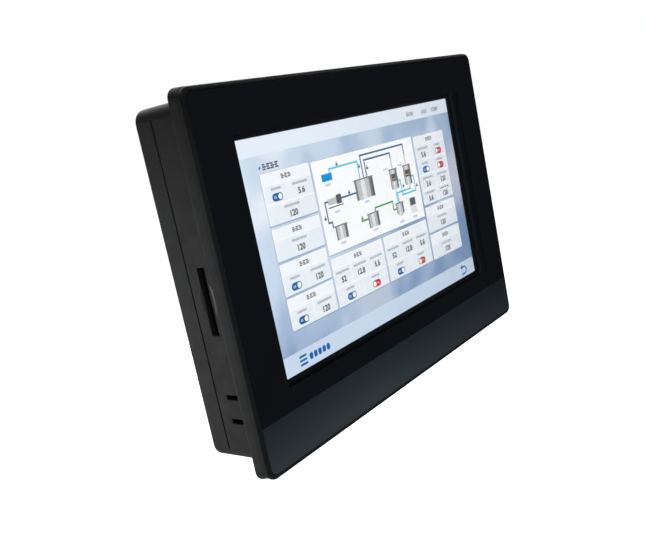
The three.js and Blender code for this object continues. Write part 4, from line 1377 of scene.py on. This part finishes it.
def usb_host():
    """A four-contact socket: a shell with slits beside its sprung tabs, and the tongue."""
    box = Box("usb_host_port")
    x, mouth = box.x, box.z0
    cutters = [window("z", mouth, mouth + 10.3, 6.25, 2.55, 0.3, (x, 14.2), 0.35)]
    for tab in around(x, 3.1):
        for v in (box.y1, box.y0):
            for u in around(tab, 1.15):
                cutters.append(block(*around(u, 0.15), *around(v, 1.6), mouth + 2.5, mouth + 8, 0.05, 0.02))
    shell = cut(filling(box, 0.5, 0.12, "z"), *cutters)
    tongue = block(*around(x, 5.5), 14.3, 16.1, mouth + 0.8, mouth + 10.6, 0.3, 0.15, "z")
    back = block(*around(x, 6.2), 11.7, 16.7, mouth + 10.0, mouth + 10.4, 0.2, 0.05, "z")
    strips = []
    for i in range(4):
        strips.append((contact(x + (i - 1.5) * 2.3, 1.0, 14.2, 14.34, mouth + 1.4, mouth + 9.6), 2))
    return joined((shell, 0), (tongue, 1), (back, 1), *strips)


def usb_device():
    """The squarer socket with two cut corners and a tongue with contacts on both faces."""
    box = Box("usb_device_port")
    x, mouth, half, low, high, corner = box.x, box.z0, 4.25, 12.2, 20.0, 1.8
    middle = (low + high) / 2

    def outline(grow):
        w, a, b = half + grow, low - grow, high + grow
        return [(x - w, a), (x + w, a), (x + w, b - corner), (x + w - corner, b),
                (x - w + corner, b), (x - w, b - corner)]

    shell = cut(filling(box, 0.5, 0.12, "z"), flared("z", mouth, mouth + 9.3, outline, 0.3))
    tongue = block(*around(x, 2.8), *around(middle, 1.6), mouth + 0.8, mouth + 9.8, 0.3, 0.15, "z")
    back = block(*around(x, 4.1), low + 0.1, high - 0.1, mouth + 9.0, mouth + 9.4, 0.2, 0.05, "z")
    strips = []
    for u in around(x, 1.3):
        for v in around(middle, 1.64):
            strips.append((contact(u, 0.9, *around(v, 0.07), mouth + 1.4, mouth + 8.8), 2))
    return joined((shell, 0), (tongue, 1), (back, 1), *strips)


for number, box in enumerate(SERIAL_PORTS, 1):
    node = f"serial_port_{number}"
    piece(f"serial_socket_{number}", serial_port(box), [zinc, port_black, gold], [node])
for number in (1, 2, 3, 4):
    node = f"jack_screw_{number}"
    piece(f"standoff_{number}", jack_screw(Box(node)), [zinc], [node], sharp=28)
network_materials = [zinc, port_black, gold, lamp_green, lamp_amber]
piece("network_socket", ethernet_jack(), network_materials, ["ethernet_jack"])
piece("usb_host_socket", usb_host(), [zinc, white_plastic, gold], ["usb_host_port"])
piece("usb_device_socket", usb_device(), [zinc, port_black, gold], ["usb_device_port"])

# ---------------------------------------------------------------- power connector

HEADER, PLUG = Box("power_header"), Box("power_plug")
POLES = [Box(f"terminal_screw_{i}") for i in (1, 2, 3)]
POLE_PITCH = 5.08
ENTRY_Y = 14.8
PLUG_HALF_WIDTH = 7.6


def power_header():
    """The fixed half: a shroud and three pins."""
    x, mouth = HEADER.x, HEADER.z0
    mouth_cutter = window("z", mouth, mouth + 9, 7.9, 3.6, 0.3, (x, HEADER.y), 0.2, 4)
    parts = [(cut(filling(HEADER, 0.4, 0.2, "z"), mouth_cutter), 0)]
    for box in POLES:
        pin = block(*around(box.x, 0.5), *around(HEADER.y, 0.5), mouth + 6.2, mouth + 9.6, 0.15, 0.2, "z")
        parts.append((pin, 1))
    return joined(*parts)


def power_plug():
    """The plug-in half: a tongue, and a body with wire entries below and screw wells at the back."""
    x, low, shoulder = PLUG.x, PLUG.z0, PLUG.z0 + 10.1
    sides = around(x, PLUG_HALF_WIDTH)
    tongue = block(*sides, 12.3, 18.9, shoulder - 0.8, PLUG.z1, 0.4, 0.25, "z")
    body = block(*sides, PLUG.y0, PLUG.y1, low, shoulder, 0.5, 0.3, "z")
    cutters = []
    for box in POLES:
        cutters.append(window("z", low, low + 6.8, 1.7, 1.8, 0.25, (box.x, ENTRY_Y), 0.35, 4))
        cutters.append(bore("y", PLUG.y1, 17.2, 1.9, box.xz, 0.3, 28))
        cutters.append(rod("y", 15, 18, 1.5, box.xz, 0.02, 24))
    for middle in around(x, POLE_PITCH / 2):
        line = around(middle, 0.25)
        cutters.append(block(*line, PLUG.y1 - 0.7, PLUG.y1 + 1, low - 1, shoulder + 1, 0.05, 0.02))
        cutters.append(block(*line, PLUG.y0 - 1, PLUG.y1 + 1, low - 1, low + 0.6, 0.05, 0.02))
    for face in sides:
        for rise in (1.9, 3.3, 4.7, 6.1):
            cutters.append(block(*around(face, 0.3), 13.4, 20.2, *around(low + rise, 0.35), 0.1, 0.05, "x"))
    parts = [(cut(fused(body, tongue), *cutters), 0)]
    cage = [(low + 1.3, 1.62), (low + 6.6, 1.62), (low + 6.6, 1.2), (low + 1.3, 1.2)]
    for box in POLES:
        centre = (box.x, ENTRY_Y)
        rings = [(z, rectangle(half, half + 0.1, 0.2, centre, 4)) for z, half in cage]
        parts.append((loft("z", rings, closed=True), 1))
    return joined(*parts)


piece("power_socket", power_header(), [terminal_green, zinc], ["power_header"])
piece("terminal_block", power_plug(), [terminal_green, zinc], ["power_plug"], body="power_plug")
for number, box in enumerate(POLES, 1):
    node = f"terminal_screw_{number}"
    shape = screw(box, 1.6, 1.2, 17.4, crossed=False)
    piece(f"clamp_screw_{number}", shape, [steel], [node], body=node)

# ---------------------------------------------------------------- switches and memory card

LEVERS = (1, 2, 3, 4)


def dip_body():
    """The switch block with its four slots."""
    levers = [Box(f"dip_lever_{number}") for number in LEVERS]
    slots = [window("y", DIP.y1, 14.4, 0.85, 2.1, 0.1, (lever.x, DIP.z), 0.15) for lever in levers]
    return cut(filling(DIP, 0.3, 0.15), *slots)


def dip_lever(box):
    """A small slider with a notch that a pen tip can catch."""
    half_x, half_z = box.width / 2, box.height / 2
    rings = [(box.y0, 0.0), (box.y1 - 0.5, 0.0), (box.y1 - 0.35, 0.04), (box.y1 - 0.1, 0.08), (box.y1, 0.2)]
    shape = loft("y", [(t, rectangle(half_x - i, half_z - i, 0.12, box.xz, 4)) for t, i in rings])
    notch = block(*around(box.x, 1), box.y1 - 0.25, box.y1 + 1, *around(box.z, 0.2), 0.05, 0.02)
    return cut(shape, notch)


def reset_button():
    """A round push button with a dished top."""
    profile = [(RESET.y0, 1.55), (RESET.y0 + 0.15, 1.7), (RESET.y1 - 0.3, 1.7)]
    profile += [(RESET.y1 - 0.08, 1.62), (RESET.y1, 1.45), (RESET.y1 - 0.1, 1.1), (RESET.y1 - 0.18, 0.5)]
    return turned("y", RESET.xz, profile, 32)


def memory_card():
    """A full-size memory card: a cut corner, three grip grooves at its outer end and a recessed field."""
    box = Box("memory_card")
    corner = 4.0
    outline = [(box.x0, box.z0), (box.x1 - corner, box.z0), (box.x1, box.z0 + corner),
               (box.x1, box.z1), (box.x0, box.z1)]

    def ring(y, inset):
        middle = Vector(box.xz)
        points = []
        for point in outline:
            direction = Vector(point) - middle
            scale = (1 - inset / abs(direction.x), 1 - inset / abs(direction.y))
            points.append((middle.x + direction.x * scale[0], middle.y + direction.y * scale[1]))
        return y, points

    card = loft("y", [ring(box.y0, 0.25), ring(box.y0 + 0.25, 0), ring(box.y1 - 0.25, 0), ring(box.y1, 0.25)])
    field_half = (box.width / 2 - 4.5, box.height / 2 - 2)
    cutters = [window("y", box.y1, box.y1 - 0.2, *field_half, 0.5, (box.x + 1, box.z), 0.1)]
    for step in (1.0, 1.8, 2.6):
        line = around(box.x0 + step, 0.15)
        cutters.append(block(*line, box.y1 - 0.25, box.y1 + 1, *around(box.z, 8), 0.05, 0.02))
    return cut(card, *cutters)


piece("dip_block", dip_body(), [red_plastic], ["dip_switch"])
for number in LEVERS:
    node = f"dip_lever_{number}"
    piece(f"slider_{number}", dip_lever(Box(node)), [white_plastic], [node], body=node)
piece("push_button", reset_button(), [white_plastic], ["reset_button"], body="reset_button")
piece("card", memory_card(), [port_black], ["memory_card"], body="memory_card")

# ---------------------------------------------------------------- pieces inside that keep their CAD shape

INNER_FINISHES = {
    "touch_tail": flex, "lcd_frame": dark_steel, "backlight": diffuser, "lcd_bracket": steel,
    "lcd_cable": white_plastic, "lcd_connector": white_plastic, "main_board": board_green,
    "processor": chip_black, "heat_sink": aluminium, "memory_chip": chip_black, "flash_chip": chip_black,
    "power_inductor": chip_black, "capacitor": aluminium, "buzzer": port_black, "battery_holder": port_black,
    "coin_cell": steel, "reset_switch": chip_black, "card_socket": steel,
}
INNER_EDGE = 0.0001


def finish_inner_nodes():
    """New materials and slightly broken edges; the CAD meshes themselves stay as they are."""
    for node, material in INNER_FINISHES.items():
        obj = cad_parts[node]
        for slot in obj.material_slots:
            slot.material = material
        weld = obj.modifiers.new("weld", "WELD")
        weld.merge_threshold = 1e-6
        edges = obj.modifiers.new("edges", "BEVEL")
        edges.width = INNER_EDGE
        edges.segments = 2
        edges.angle_limit = math.radians(35)
        even_normals(obj)


finish_inner_nodes()

# ---------------------------------------------------------------- light, floor and camera

FLOOR_Z = -0.4
WHITE = grey(1.0)
# Each lamp's place, size and power. All face the middle of the panel.
LAMPS = {
    "side_light": ((-0.6, 1.2, -0.34), (0.7, 0.5), 1.9),
    "key_light": ((-0.7, -0.9, 0.9), (0.9, 0.9), 1.8),
    "top_light": ((-0.1, 0.6, 1.15), (0.8, 0.8), 2.6),
    "fill_light": ((1.2, -0.5, 0.9), (0.8, 0.8), 2),
    "back_light": ((0.7, 1.2, 0.5), (1.0, 1.0), 10),
}
SURROUND_LIGHT = 0.2
# The photo's view, from the front left, a little above the middle.
CAMERA = {
    "place": (-0.27330, -0.19698, 0.04806), "forward": (0.75092, 0.63636, -0.17655),
    "roll": -11.76, "lens": 42.85,
}


def put_in_scene(obj, place):
    obj.location = place
    bpy.context.scene.collection.objects.link(obj)


def aim(obj, direction, roll=0.0):
    """Turns a lamp or a camera to look along a direction, and then round it by an angle in degrees."""
    obj.rotation_mode = "QUATERNION"
    turn = Quaternion((0, 0, 1), math.radians(roll))
    obj.rotation_quaternion = direction.to_track_quat("-Z", "Y") @ turn


def softbox(name, place, size, power):
    light = bpy.data.lights.new(name, "AREA")
    light.shape = "RECTANGLE"
    light.size, light.size_y = size
    light.energy = power
    obj = bpy.data.objects.new(name, light)
    aim(obj, -Vector(place))
    put_in_scene(obj, place)


def mirrored_level(tree):
    """What glossy surfaces see of the room: dark in front, so that the black film stays black, and pale
    behind and below, so that the plated connectors have something to reflect."""
    direction = tree.nodes.new("ShaderNodeTexCoord").outputs["Generated"]
    parts = add_node(tree, "SeparateXYZ", {"Vector": direction}).outputs
    beside = spread(tree, parts["Y"], 0.0, 0.8, 0.01, 0.4, "SMOOTHSTEP")
    straight = spread(tree, parts["Y"], 0.8, 0.97, 0.0, 0.9, "SMOOTHSTEP")
    height = spread(tree, parts["Z"], -0.5, 0.15, 1.3, 0.14, "SMOOTHSTEP")
    below = spread(tree, parts["Z"], -0.95, -0.6, 0.4, 0.01, "SMOOTHSTEP")
    behind = calculated(tree, "MULTIPLY", calculated(tree, "ADD", beside, straight), height)
    return calculated(tree, "MAXIMUM", behind, below)


def studio():
    """White to the eye and dimmer to the surfaces, with soft lights around the panel."""
    world = bpy.data.worlds.new("studio")
    world.use_nodes = True
    tree = world.node_tree
    tree.nodes.clear()
    rays = tree.nodes.new("ShaderNodeLightPath").outputs
    levels = (1.0, mirrored_level(tree), SURROUND_LIGHT)
    seen, mirrored, around = [
        add_node(tree, "Background", {"Color": WHITE, "Strength": level}).outputs[0] for level in levels]
    unseen = add_node(tree, "MixShader", {0: rays["Is Diffuse Ray"], 1: mirrored, 2: around}).outputs[0]
    sky = add_node(tree, "MixShader", {0: rays["Is Camera Ray"], 1: unseen, 2: seen}).outputs[0]
    add_node(tree, "OutputWorld", {"Surface": sky})
    bpy.context.scene.world = world
    for name, values in LAMPS.items():
        softbox(name, *values)


def floor():
    """A plain pale floor well below the panel, which would hang in a cabinet door."""
    pale = grey(0.86)
    finish = Finish("floor", pale, 0.7, Emission_Color=WHITE, Emission_Strength=1.0)
    finish.vary(pale, 0.01, 0.4)
    shape = bmesh.new()
    bmesh.ops.create_grid(shape, x_segments=8, y_segments=8, size=6)
    mesh = mesh_of(shape, "floor")
    mesh.materials.append(finish.material)
    obj = bpy.data.objects.new("floor", mesh)
    obj.visible_diffuse = False
    obj.visible_glossy = False
    obj.visible_transmission = False
    put_in_scene(obj, (0, 0, FLOOR_Z))


def camera():
    lens = bpy.data.cameras.new("camera")
    lens.lens = CAMERA["lens"]
    lens.clip_start = 0.01
    obj = bpy.data.objects.new("camera", lens)
    aim(obj, Vector(CAMERA["forward"]), CAMERA["roll"])
    put_in_scene(obj, CAMERA["place"])
    bpy.context.scene.camera = obj


studio()
floor()
camera()
bpy.context.scene.view_settings.view_transform = "Standard"
